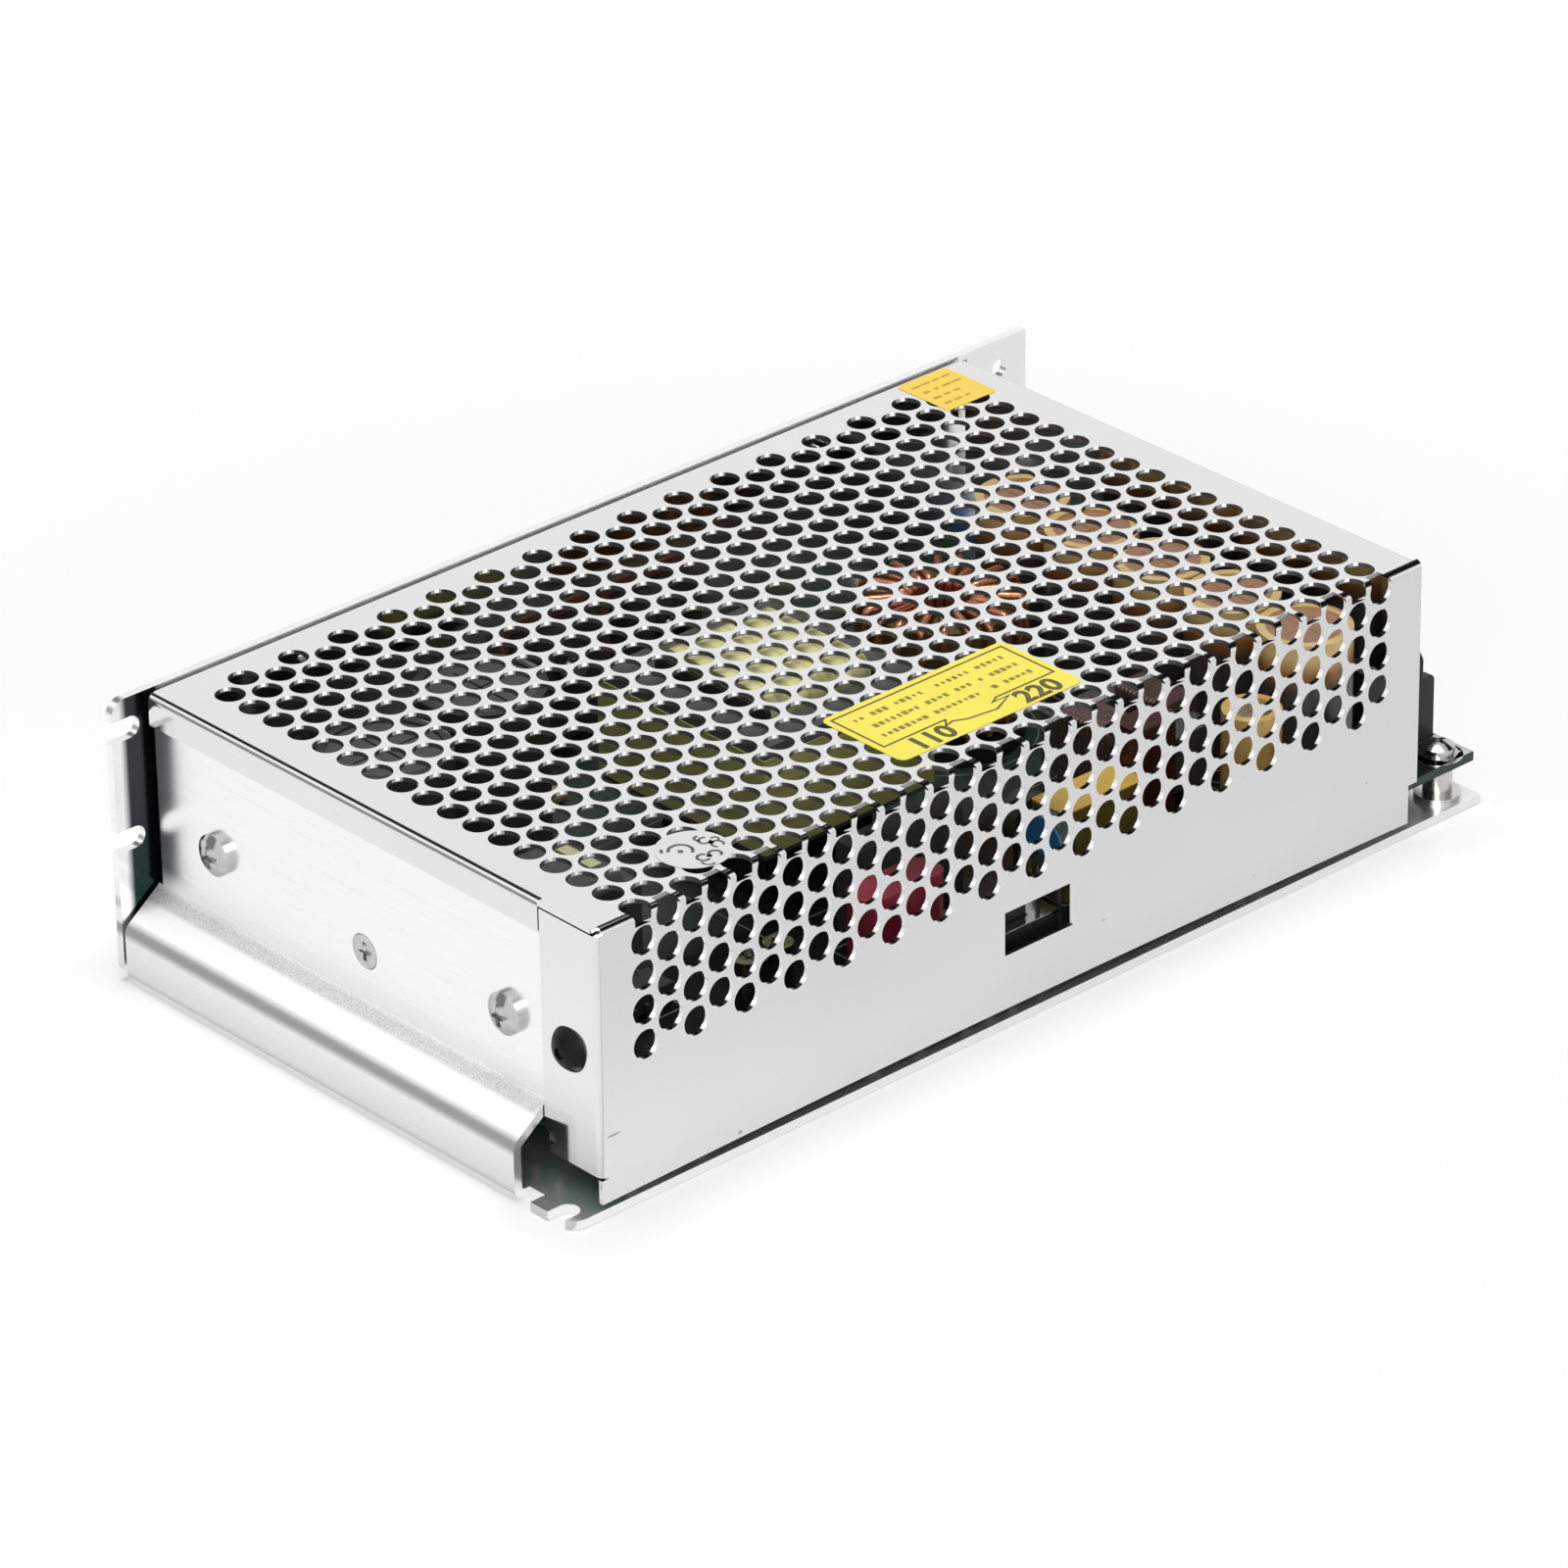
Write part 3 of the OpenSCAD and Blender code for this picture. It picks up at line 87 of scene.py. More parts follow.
class Nodes:
    """Builds a node tree step by step."""

    def __init__(self, tree: bpy.types.NodeTree) -> None:
        """Keep the tree that the nodes go into."""
        self.tree = tree

    def add(self, kind: str, feeds: Optional[Feeds] = None, **settings: object) -> bpy.types.Node:
        """Add a node.

        Args:
            kind: Type name of the node.
            feeds: Sockets or plain values for its inputs, by name or number.
            **settings: Properties set on it before its inputs.

        Returns:
            The new node.
        """
        node = self.tree.nodes.new(kind)
        for key, value in settings.items():
            setattr(node, key, value)
        for key, value in (feeds or {}).items():
            self.feed(node.inputs[key], value)
        return node

    def feed(self, target: Socket, value: object) -> None:
        """Link a socket to a target, or set the target to a plain value. A colour becomes opaque.

        Args:
            target: Input of a node.
            value: Socket of another node, or a plain value.
        """
        if isinstance(value, Socket):
            self.tree.links.new(value, target)
        elif isinstance(value, tuple) and len(value) < len(target.default_value):
            target.default_value = (*value, 1.0)
        else:
            target.default_value = value

    def calc(self, operation: str, first: Value, second: Value = 0.0) -> Socket:
        """Return the result of one arithmetic step."""
        return self.add("ShaderNodeMath", {0: first, 1: second}, operation=operation).outputs[0]

    def product(self, *values: Value) -> Socket:
        """Return the product of several values."""
        return reduce(partial(self.calc, "MULTIPLY"), values)

    def most(self, *values: Value) -> Socket:
        """Return the greatest of several values."""
        return reduce(partial(self.calc, "MAXIMUM"), values)

    def rest(self, value: Socket) -> Socket:
        """Return one less a value."""
        return self.calc("SUBTRACT", 1.0, value)

    def over(self, value: Socket, limit: float) -> Socket:
        """Return 1 where a value is over a limit, and 0 elsewhere."""
        return self.calc("GREATER_THAN", value, limit)

    def under(self, value: Socket, limit: float) -> Socket:
        """Return 1 where a value is under a limit, and 0 elsewhere."""
        return self.calc("LESS_THAN", value, limit)

    def between(self, value: Socket, low: float, high: float) -> Socket:
        """Return 1 where a value lies between two limits, and 0 elsewhere."""
        return self.product(self.over(value, low), self.under(value, high))

    def where(self, mask: Socket, value: Socket) -> Socket:
        """Return a value where a mask is 1, and 1 where it is 0."""
        return self.calc("ADD", self.product(value, mask), self.rest(mask))

    def split(self, vector: Socket) -> dict[str, Socket]:
        """Return the components of a vector by the names X, Y and Z."""
        return dict(zip("XYZ", self.add("ShaderNodeSeparateXYZ", {0: vector}).outputs))

    def ramp(self, value: Socket, low: float, high: float, start: float = 0.3, stop: float = 0.7) -> Socket:
        """Map a value from start..stop to low..high, held at both ends.

        Args:
            value: Value to map.
            low: Result at start.
            high: Result at stop.
            start: Lower end of the value.
            stop: Upper end of the value.

        Returns:
            The mapped value.
        """
        feeds = {"Value": value, "From Min": start, "From Max": stop, "To Min": low, "To Max": high}
        return self.add("ShaderNodeMapRange", feeds).outputs["Result"]

    def fades(self, parts: dict[str, Socket], fades: Iterable[Fade]) -> list[Socket]:
        """Return a ramp for each fade: its axis, its two results and the limits between which it changes."""
        return [self.ramp(parts[axis], *limits) for axis, *limits in fades]

    def blend(self, factor: Socket, first: Socket, second: Socket) -> Socket:
        """Return a mix of two shaders."""
        return self.add("ShaderNodeMixShader", {0: factor, 1: first, 2: second}).outputs[0]


class Bench(Nodes):
    """Builds one node material on Object coordinates."""

    def __init__(self, name: str) -> None:
        """Start a material that holds one principled shader.

        Args:
            name: Name of the new material.
        """
        self.material = bpy.data.materials.new(name)
        self.material.use_nodes = True
        super().__init__(self.material.node_tree)
        self.shader = self.tree.nodes["Principled BSDF"]
        self.coords = self.add("ShaderNodeTexCoord").outputs["Object"]

    def apply(self, **values: object) -> None:
        """Link or set inputs of the shader, named with underscores for spaces."""
        for key, value in values.items():
            self.feed(self.shader.inputs[key.replace("_", " ")], value)

    def mapped(self, scale: Triple, place: Triple = (0, 0, 0), turn: Triple = (0, 0, 0)) -> Socket:
        """Return Object coordinates seen from a place, turned and scaled.

        Args:
            scale: Factors along the three axes.
            place: Point in metres that becomes the origin.
            turn: Euler angles of the pattern in radians.

        Returns:
            The mapped vector.
        """
        shift = self.add("ShaderNodeVectorMath", {0: self.coords, 1: place}, operation="SUBTRACT").outputs[0]
        feeds = {"Vector": shift, "Rotation": turn, "Scale": scale}
        return self.add("ShaderNodeMapping", feeds).outputs["Vector"]

    def noise(self, scale: float, lay: Lay = Lay.EVEN, detail: float = 3.0) -> Socket:
        """Return a noise value from 0 to 1.

        Args:
            scale: Features per metre.
            lay: Direction in which the pattern is drawn out.
            detail: Octaves of the noise.

        Returns:
            The noise value.
        """
        feeds = {"Vector": self.mapped(lay.value), "Scale": scale, "Detail": detail}
        return self.add("ShaderNodeTexNoise", feeds).outputs["Fac"]

    def marks(self, kind: Triple, lay: Lay = Lay.EVEN, detail: float = 1.0) -> Socket:
        """Return a mask of scattered marks.

        Args:
            kind: Marks per metre, and the noise levels at which a mark starts and is full.
            lay: Direction in which the marks are drawn out.
            detail: Octaves of the noise.

        Returns:
            Mask from 0 to 1.
        """
        scale, start, stop = kind
        return self.ramp(self.noise(scale, lay, detail), 0.0, 1.0, start, stop)

    def mix(self, factor: Socket, first: Paint, second: Paint) -> Socket:
        """Return a blend of two colours, the first at 0 and the second at 1."""
        return self.add("ShaderNodeMix", {0: factor, 6: first, 7: second}, data_type="RGBA").outputs[2]

    def axis(self, name: str) -> Socket:
        """Return one Object coordinate in metres."""
        return self.split(self.coords)[name]

    def fade(self, name: str, low: float, high: float, start: float, stop: float) -> Socket:
        """Map an Object coordinate from start..stop in millimetres to low..high, held at both ends."""
        return self.ramp(self.axis(name), low, high, start * MM, stop * MM)

    def past(self, name: str, limit: float) -> Socket:
        """Return 1 where an Object coordinate is over a limit in millimetres, and 0 elsewhere."""
        return self.over(self.axis(name), limit * MM)

    def short(self, name: str, limit: float) -> Socket:
        """Return 1 where an Object coordinate is under a limit in millimetres, and 0 elsewhere."""
        return self.under(self.axis(name), limit * MM)

    def facing(self, name: str) -> Socket:
        """Return one component of the surface normal."""
        return self.split(self.add("ShaderNodeNewGeometry").outputs["Normal"])[name]

    def steep(self, name: str) -> Socket:
        """Return 1 where the surface stands across an axis, and 0 where it faces along it."""
        return self.under(self.calc("ABSOLUTE", self.facing(name)), FACING)

    def relief(self, height: Socket, depth: float, normal: Optional[Socket] = None) -> None:
        """Raise the surface by a height map.

        Args:
            height: Height map from 0 to 1.
            depth: Depth of the map in metres.
            normal: Normal to start from, if it is not the surface's own.
        """
        feeds = {"Distance": depth, "Height": height}
        if normal is not None:
            feeds["Normal"] = normal
        self.apply(Normal=self.add("ShaderNodeBump", feeds).outputs["Normal"])


@dataclass(frozen=True)
class Finish:
    """A plain procedural finish with patches of colour, patches of gloss and fine relief.

    Attributes:
        name: Name of the material.
        colour: Main colour, linear.
        tint: Colour of the patches.
        gloss: Lowest and highest roughness.
        metallic: Share of metal.
        patches: Patches per metre.
        grains: Relief grains per metre.
        depth: Depth of the relief in metres.
        lay: Direction of the grain.
        coat: Weight of the clear coat.
        shine: Level of the surface reflection.
    """

    name: str
    colour: Colour
    tint: Colour
    gloss: Pair
    metallic: float = 0.0
    patches: float = 90.0
    grains: float = 2500.0
    depth: float = 4e-6
    lay: Lay = Lay.EVEN
    coat: float = 0.0
    shine: float = field(default=0.5, kw_only=True)

    def material(self) -> bpy.types.Material:
        """Make the finish's material on first use.

        Returns:
            The material.
        """
        found = bpy.data.materials.get(self.name)
        if found is None:
            bench = Bench(self.name)
            self.dress(bench)
            found = bench.material
        return found

    def dress(self, bench: Bench) -> None:
        """Lay colour, gloss and relief on a bench.

        Args:
            bench: Bench of the finish's material.
        """
        bench.apply(Base_Color=self.pattern(bench), Metallic=self.metallic, Coat_Weight=self.coat,
                    Specular_IOR_Level=self.shine, Roughness=self.sheen(bench))
        bench.relief(self.grain(bench), self.depth)

    def pattern(self, bench: Bench) -> Socket:
        """Return the colour pattern."""
        return bench.mix(bench.ramp(bench.noise(self.patches), 0.0, 1.0), self.colour, self.tint)

    def sheen(self, bench: Bench, share: float = 3.0) -> Socket:
        """Return the roughness, in patches finer than those of the colour by a given share."""
        return bench.ramp(bench.noise(self.patches * share, self.lay), *self.gloss)

    def grain(self, bench: Bench) -> Socket:
        """Return the height map of the grain."""
        return bench.noise(self.grains, self.lay, 2.0)


@dataclass(frozen=True)
class PlatedSheet(Finish):
    """Bright plated sheet with rolling lines, hairlines, specks, one scratch and painted shade on the edges of its
    punched holes.

    Attributes:
        scratch: Middle of the scratch on the near side, in millimetres.
        scratch_size: Half length, half depth and half width of the scratch.
        scratch_turn: Slope of the scratch in degrees.
        scratch_fade: Levels of its pattern at which the scratch starts and is full.
        hairs: Hairlines per metre, and the noise levels at which one starts and is full.
        hair_blur: Roughness that a hairline adds.
        specks: Specks per metre, and their noise levels.
        dirt: Colour of the scratch and the specks.
        dirt_share: How far that colour covers the sheet.
        sheet_x: Lowest and highest X of the punched part of the top sheet.
        side_x: Lowest X of the punched part of the near sheet.
        inner_top: Height of the top sheet's underside.
        inner_side: Y of the near sheet's inner face.
        bend: Distance from the inner faces at which the bend between the two sheets ends.
        roll_top: Lean of the part of the top sheet's punched edges that catches the light.
        roll_from: Least and greatest X of that part's normal.
        roll_rise: Heights above the underside between which that part begins.
        roll_side: Lean of the punched edges in the near sheet.
        notch: Painted shade: darker metal colour that dims the reflection on the part that catches the light.
        edge: Painted shade: dark matt colour of the punched edges in the top sheet that do not catch the light.
        slack: Room for rounding at the sheets' inner faces.
    """

    scratch: Triple = (-91.2, -55.0, 13.9)
    scratch_size: Triple = (1.7, 2.0, 0.26)
    scratch_turn: float = 14.0
    scratch_fade: Pair = (0.05, 0.4)
    hairs: Triple = (5200.0, 0.66, 0.74)
    hair_blur: float = 0.06
    specks: Triple = (420.0, 0.79, 0.83)
    dirt: Colour = (0.16, 0.16, 0.17)
    dirt_share: float = 0.62
    sheet_x: Pair = (-90.2, 94.0)
    side_x: float = -92.2
    inner_top: float = 49.2
    inner_side: float = -54.2
    bend: float = 0.6
    roll_top: Triple = (-0.35, 0.0, 0.55)
    roll_from: Pair = (-0.66, 0.02)
    roll_rise: Pair = (0.05, 0.25)
    roll_side: Triple = (0.0, -1.0, 0.0)
    notch: Colour = (0.30, 0.30, 0.30)
    edge: Colour = (0.125, 0.122, 0.120)
    slack: float = 0.02

    def dress(self, bench: Bench) -> None:
        """Lay the plated sheet with its marks.

        Args:
            bench: Bench of the finish's material.
        """
        punched = self.punched(bench)
        lit = self.lit(bench)
        # Painted shade on the punched edges: dimmer metal where they catch the light, dark matt where they do not.
        notch = bench.product(punched, lit)
        painted_shade_edge = bench.product(punched, bench.rest(lit))
        dirt = bench.most(self.scratch_mask(bench), bench.marks(self.specks))
        marked = bench.mix(bench.product(dirt, self.dirt_share), self.pattern(bench), self.dirt)
        hair = bench.product(bench.marks(self.hairs, self.lay), self.hair_blur)
        bench.apply(Base_Color=bench.mix(painted_shade_edge, bench.mix(notch, marked, self.notch), self.edge),
                    Metallic=bench.calc("SUBTRACT", self.metallic, painted_shade_edge),
                    Roughness=bench.calc("ADD", self.sheen(bench, 2.4), hair))
        bench.relief(self.grain(bench), self.depth, self.rolled_edge(bench, notch))

    def punched(self, bench: Bench) -> Socket:
        """Return 1 on the punched edges in the top sheet, and 0 elsewhere.

        Args:
            bench: Bench of the finish's material.

        Returns:
            The mask.
        """
        within = bench.between(bench.axis("X"), *(v * MM for v in self.sheet_x))
        return bench.product(bench.steep("Z"), bench.past("Y", self.inner_side + self.bend),
                             bench.past("Z", self.inner_top - self.slack), within)

    def lit(self, bench: Bench) -> Socket:
        """Return how far a punched edge in the top sheet faces the light with its rolled upper part.

        Args:
            bench: Bench of the finish's material.

        Returns:
            Mask from 0 to 1.
        """
        start, stop = (self.inner_top + v for v in self.roll_rise)
        return bench.product(bench.between(bench.facing("X"), *self.roll_from),
                             bench.under(bench.facing("Y"), -FACING), bench.fade("Z", 0.0, 1.0, start, stop))

    def rolled_edge(self, bench: Bench, in_top: Socket) -> Socket:
        """Return the normal, leaning outwards on the walls of the punched holes as their rolled edges do.

        Args:
            bench: Bench of the material's tree.
            in_top: Mask of the rolled part in the top sheet.

        Returns:
            The leaning normal.
        """
        in_side = bench.product(bench.steep("Y"), bench.short("Y", self.inner_side + self.slack),
                                bench.short("Z", self.inner_top - self.bend), bench.past("X", self.side_x))
        normal = bench.add("ShaderNodeNewGeometry").outputs["Normal"]
        for mask, way in ((in_top, self.roll_top), (in_side, self.roll_side)):
            feeds = {0: mask, 1: way, 2: normal}
            normal = bench.add("ShaderNodeVectorMath", feeds, operation="MULTIPLY_ADD").outputs[0]
        return bench.add("ShaderNodeVectorMath", {0: normal}, operation="NORMALIZE").outputs[0]

    def scratch_mask(self, bench: Bench) -> Socket:
        """Return 1 on the scratch and 0 elsewhere.

        Args:
            bench: Bench of the finish's material.

        Returns:
            Mask from 0 to 1.
        """
        place = tuple(v * MM for v in self.scratch)
        scale = tuple(1 / (v * MM) for v in self.scratch_size)
        turned = bench.mapped(scale, place, (0, math.radians(self.scratch_turn), 0))
        spot = bench.add("ShaderNodeTexGradient", {0: turned}, gradient_type="SPHERICAL")
        return bench.ramp(spot.outputs["Fac"], 0.0, 1.0, *self.scratch_fade)


@dataclass(frozen=True)
class RolledSheet(Finish):
    """Satin rolled sheet with fine lines, grit and a painted dark reflection on the folds of its jog, and a painted
    dark reflection at the far end.

    Attributes:
        lines: Rolling lines per metre.
        rubs: Rub marks per metre, and the noise levels at which one starts and is full.
        rub: Colour of a rub mark.
        rub_share: How far that colour covers the sheet.
        side_wall: Y of the far side wall's inner face.
        recess: X at which the painted dark reflection on the far side wall starts towards the end wall, and where
            it is full.
        recess_end: X at which the dark part starts to end, and where it has ended.
        recess_rise: Heights between which its lower colour turns into its higher one.
        recess_high: Colour of the painted reflection high up, the dark inside.
        recess_low: Colour of the painted reflection low down, the green board.
        floor_top: Height just above the base's upper face.
        floor_dull: Share of metal that the base's upper face lacks.
        jog: Heights of the lower and the upper fold of the end wall's jog.
        fold: Colour of the folds.
        fold_low: Distances from the lower fold at which that colour begins, is full, starts to end and ends.
        fold_high: The same distances from the upper fold.
        fold_share: How far that colour covers the lower fold.
        grit: Grains of grit per metre on the upper fold, and their noise levels.
        upper_fold_share: How far the painted dark reflection covers the upper fold.
        grit_thin: Share of that between the grains.
        outward: Greatest X of the normal of what faces out of the end wall.
        grain_share: Share of the fine grain in the relief.
        blur: Roughness that the jog adds.
        blur_low: Heights between which that roughness begins.
        blur_high: Heights between which it ends.
    """

    lines: float = 2600.0
    rubs: Triple = (900.0, 0.60, 0.72)
    rub: Colour = (0.72, 0.72, 0.72)
    rub_share: float = 0.10
    side_wall: float = 53.4
    recess: Pair = (-98.4, -97.0)
    recess_end: Pair = (-91.0, -90.0)
    recess_rise: Pair = (14.0, 34.0)
    recess_high: Colour = (0.045, 0.044, 0.050)
    recess_low: Colour = (0.010, 0.036, 0.030)
    floor_top: float = 1.7
    floor_dull: float = 0.12
    jog: Pair = (9.75, 13.6)
    # fold: Painted dark reflection: colour of the folds.
    fold: Colour = (0.34, 0.34, 0.34)
    fold_low: Quad = (-2.0, -0.7, 0.4, 1.2)
    fold_high: Quad = (-0.5, 0.0, 1.0, 1.9)
    fold_share: float = 0.86
    grit: Triple = (3000.0, 0.40, 0.62)
    upper_fold_share: float = 0.6
    grit_thin: float = 0.5
    outward: float = -0.3
    grain_share: float = 0.7
    blur: float = 0.34
    blur_low: Pair = (8.0, 9.6)
    blur_high: Pair = (16.2, 19.0)

    def dress(self, bench: Bench) -> None:
        """Lay the rolled sheet.

        Args:
            bench: Bench of the finish's material.
        """
        lines = bench.noise(self.lines, self.lay)
        plain = bench.mix(bench.ramp(lines, 0.0, 1.0), self.colour, self.tint)
        worn = bench.mix(bench.product(bench.marks(self.rubs, self.lay, 2.0), self.rub_share), plain, self.rub)
        # Painted dark reflection on the folds of the jog.
        folded = bench.mix(self.painted_fold_mask(bench), worn, self.fold)
        # Painted reflection of the dark inside and the green board on the far side wall near the end wall.
        dark = bench.mix(bench.fade("Z", 0.0, 1.0, *self.recess_rise), self.recess_low, self.recess_high)
        blur = bench.product(self.outer(bench), bench.fade("Z", 0.0, self.blur, *self.blur_low),
                             bench.fade("Z", 1.0, 0.0, *self.blur_high))
        base = bench.product(bench.short("Z", self.floor_top), bench.over(bench.facing("Z"), FACING))
        bench.apply(Base_Color=bench.mix(self.painted_reflection_mask(bench), folded, dark),
                    Metallic=bench.calc("SUBTRACT", self.metallic, bench.product(base, self.floor_dull)),
                    Roughness=bench.calc("ADD", self.sheen(bench), blur))
        fine = bench.product(bench.noise(self.grains), self.grain_share)
        bench.relief(bench.calc("ADD", lines, fine), self.depth)

    def outer(self, bench: Bench) -> Socket:
        """Return 1 where the sheet faces out of the end wall, and 0 elsewhere."""
        return bench.under(bench.facing("X"), self.outward)

    def painted_fold_mask(self, bench: Bench) -> Socket:
        """Return how far the end wall's jog takes the painted dark reflection: at its lower fold, and broken by
        grit at its upper fold.

        Args:
            bench: Bench of the finish's material.

        Returns:
            Mask from 0 to 1.
        """
        low, high = self.jog
        scale, start, stop = self.grit
        grit = bench.ramp(bench.noise(scale, Lay.EVEN, 2.0), self.grit_thin, 1.0, start, stop)
        lower = bench.product(self.band(bench, low, self.fold_low, 1.0), self.fold_share)
        upper = bench.product(self.band(bench, high, self.fold_high, self.upper_fold_share), grit)
        return bench.product(self.outer(bench), bench.most(lower, upper))

    def band(self, bench: Bench, fold: float, reach: Quad, level: float) -> Socket:
        """Return a band of heights about a fold.

        Args:
            bench: Bench of the finish's material.
            fold: Height of the fold.
            reach: Distances from the fold at which the band begins, is full, starts to end and ends.
            level: Level of the full band.

        Returns:
            Mask from 0 to that level.
        """
        begin, full, last, end = (fold + v for v in reach)
        return bench.product(bench.fade("Z", 0.0, level, begin, full), bench.fade("Z", 1.0, 0.0, last, end))

    def painted_reflection_mask(self, bench: Bench) -> Socket:
        """Return 1 on the part of the far side wall that takes a painted reflection of the dark inside, and 0
        elsewhere.
        """
        return bench.product(bench.under(bench.facing("Y"), -FACING), bench.past("Y", self.side_wall),
                             bench.fade("X", 0.0, 1.0, *self.recess), bench.fade("X", 1.0, 0.0, *self.recess_end))


@dataclass(frozen=True)
class Resist(Finish):
    """Solder resist over copper tracks, with painted shade and painted light, and the bare laminate on the board's
    edges.

    Attributes:
        cell: Size of the track pattern in millimetres.
        gap: Distances from a track's edge, in cells, between which the gap turns into track.
        laminate: Colour of the cut edge.
        under: Colour of the underside.
        end_painted_light: Painted light: brighter green of the underside at the open end, for light that bounces in
            there.
        end_x: X between which that colour gives way.
        near_y: Y between which the shade along the near side gives way.
        near_shade: Share of that shade.
        cut: Parts of the normal along Z between which the cut edge turns into a face.
        end_shade: Share of the painted tone towards the end wall, and past it.
        end_shade_x: X between which that share changes.
        shade_near: Colour of the shade along the near side.
        painted_light_far: Painted light: pale colour that the painted tone takes farther in.
    """

    cell: float = 5.2
    gap: Pair = (0.03, 0.07)
    laminate: Colour = (0.030, 0.058, 0.040)
    under: Colour = (0.020, 0.060, 0.040)
    end_painted_light: Colour = (0.03, 0.24, 0.14)
    end_x: Pair = (-86.0, -82.0)
    near_y: Pair = (-16.0, 2.0)
    near_shade: float = 0.92
    cut: Pair = (0.4, 0.6)
    end_shade: Pair = (0.7, 0.2)
    end_shade_x: Pair = (-40.0, -5.0)
    shade_near: Colour = (0.007, 0.008, 0.008)
    painted_light_far: Colour = (0.13, 0.13, 0.127)

    def pattern(self, bench: Bench) -> Socket:
        """Return tracks, gaps and the cut edge.

        Args:
            bench: Bench of the finish's material.

        Returns:
            The colour.
        """
        feeds = {"Vector": bench.mapped((1.0, 1.0, 0.0)), "Scale": 1 / (self.cell * MM)}
        cells = bench.add("ShaderNodeTexVoronoi", feeds, feature="DISTANCE_TO_EDGE", distance="EUCLIDEAN")
        tracks = bench.mix(bench.ramp(cells.outputs["Distance"], 0.0, 1.0, *self.gap), self.tint, self.colour)
        # Painted shade along the near side, and painted light farther in as a pale veil that grows towards the end
        # wall.
        shade = bench.most(bench.fade("X", *self.end_shade, *self.end_shade_x),
                           bench.fade("Y", self.near_shade, 0.0, *self.near_y))
        painted_tone = bench.mix(bench.fade("Y", 0.0, 1.0, *self.near_y), self.shade_near, self.painted_light_far)
        upright = bench.ramp(bench.calc("ABSOLUTE", bench.facing("Z")), 1.0, 0.0, *self.cut)
        face = bench.mix(upright, bench.mix(shade, tracks, painted_tone), self.laminate)
        # Painted light on the underside at the open end.
        under = bench.mix(bench.fade("X", 1.0, 0.0, *self.end_x), self.under, self.end_painted_light)
        return bench.mix(bench.under(bench.facing("Z"), -FACING), face, under)


@dataclass(frozen=True)
class Wound(Finish):
    """Turns of wire or tape, seen as bands across an axis, with painted shade in the grooves between them.

    Attributes:
        across: Name of the axis that the bands follow each other on.
        pitch: Distance between bands in millimetres.
        groove: Level of the painted shade between two bands.
        groove_share: How far that colour covers the groove.
        groove_fade: Levels of the wave between which the groove gives way.
        crown: Levels of the wave between which a band rises.
        sway: Bends of the bands per metre.
    """

    across: str = "X"
    pitch: float = 1.0
    groove: float = 0.4
    groove_share: float = 0.35
    groove_fade: Pair = (-1.0, -0.4)
    crown: Pair = (-0.6, 0.6)
    sway: float = 60.0

    def dress(self, bench: Bench) -> None:
        """Lay the bands over the plain finish.

        Args:
            bench: Bench of the finish's material.
        """
        phase = bench.product(bench.axis(self.across), 2 * math.pi / (self.pitch * MM))
        wave = bench.calc("SINE", bench.calc("ADD", phase, bench.noise(self.sway)))
        # Painted shade in the grooves between the bands.
        dark = tuple(c * self.groove for c in self.colour)
        groove = bench.ramp(wave, self.groove_share, 0.0, *self.groove_fade)
        colour = bench.mix(groove, self.pattern(bench), dark)
        bench.apply(Base_Color=colour, Metallic=self.metallic, Coat_Weight=self.coat, Roughness=self.sheen(bench))
        bench.relief(bench.ramp(wave, 0.0, 1.0, *self.crown), self.depth)


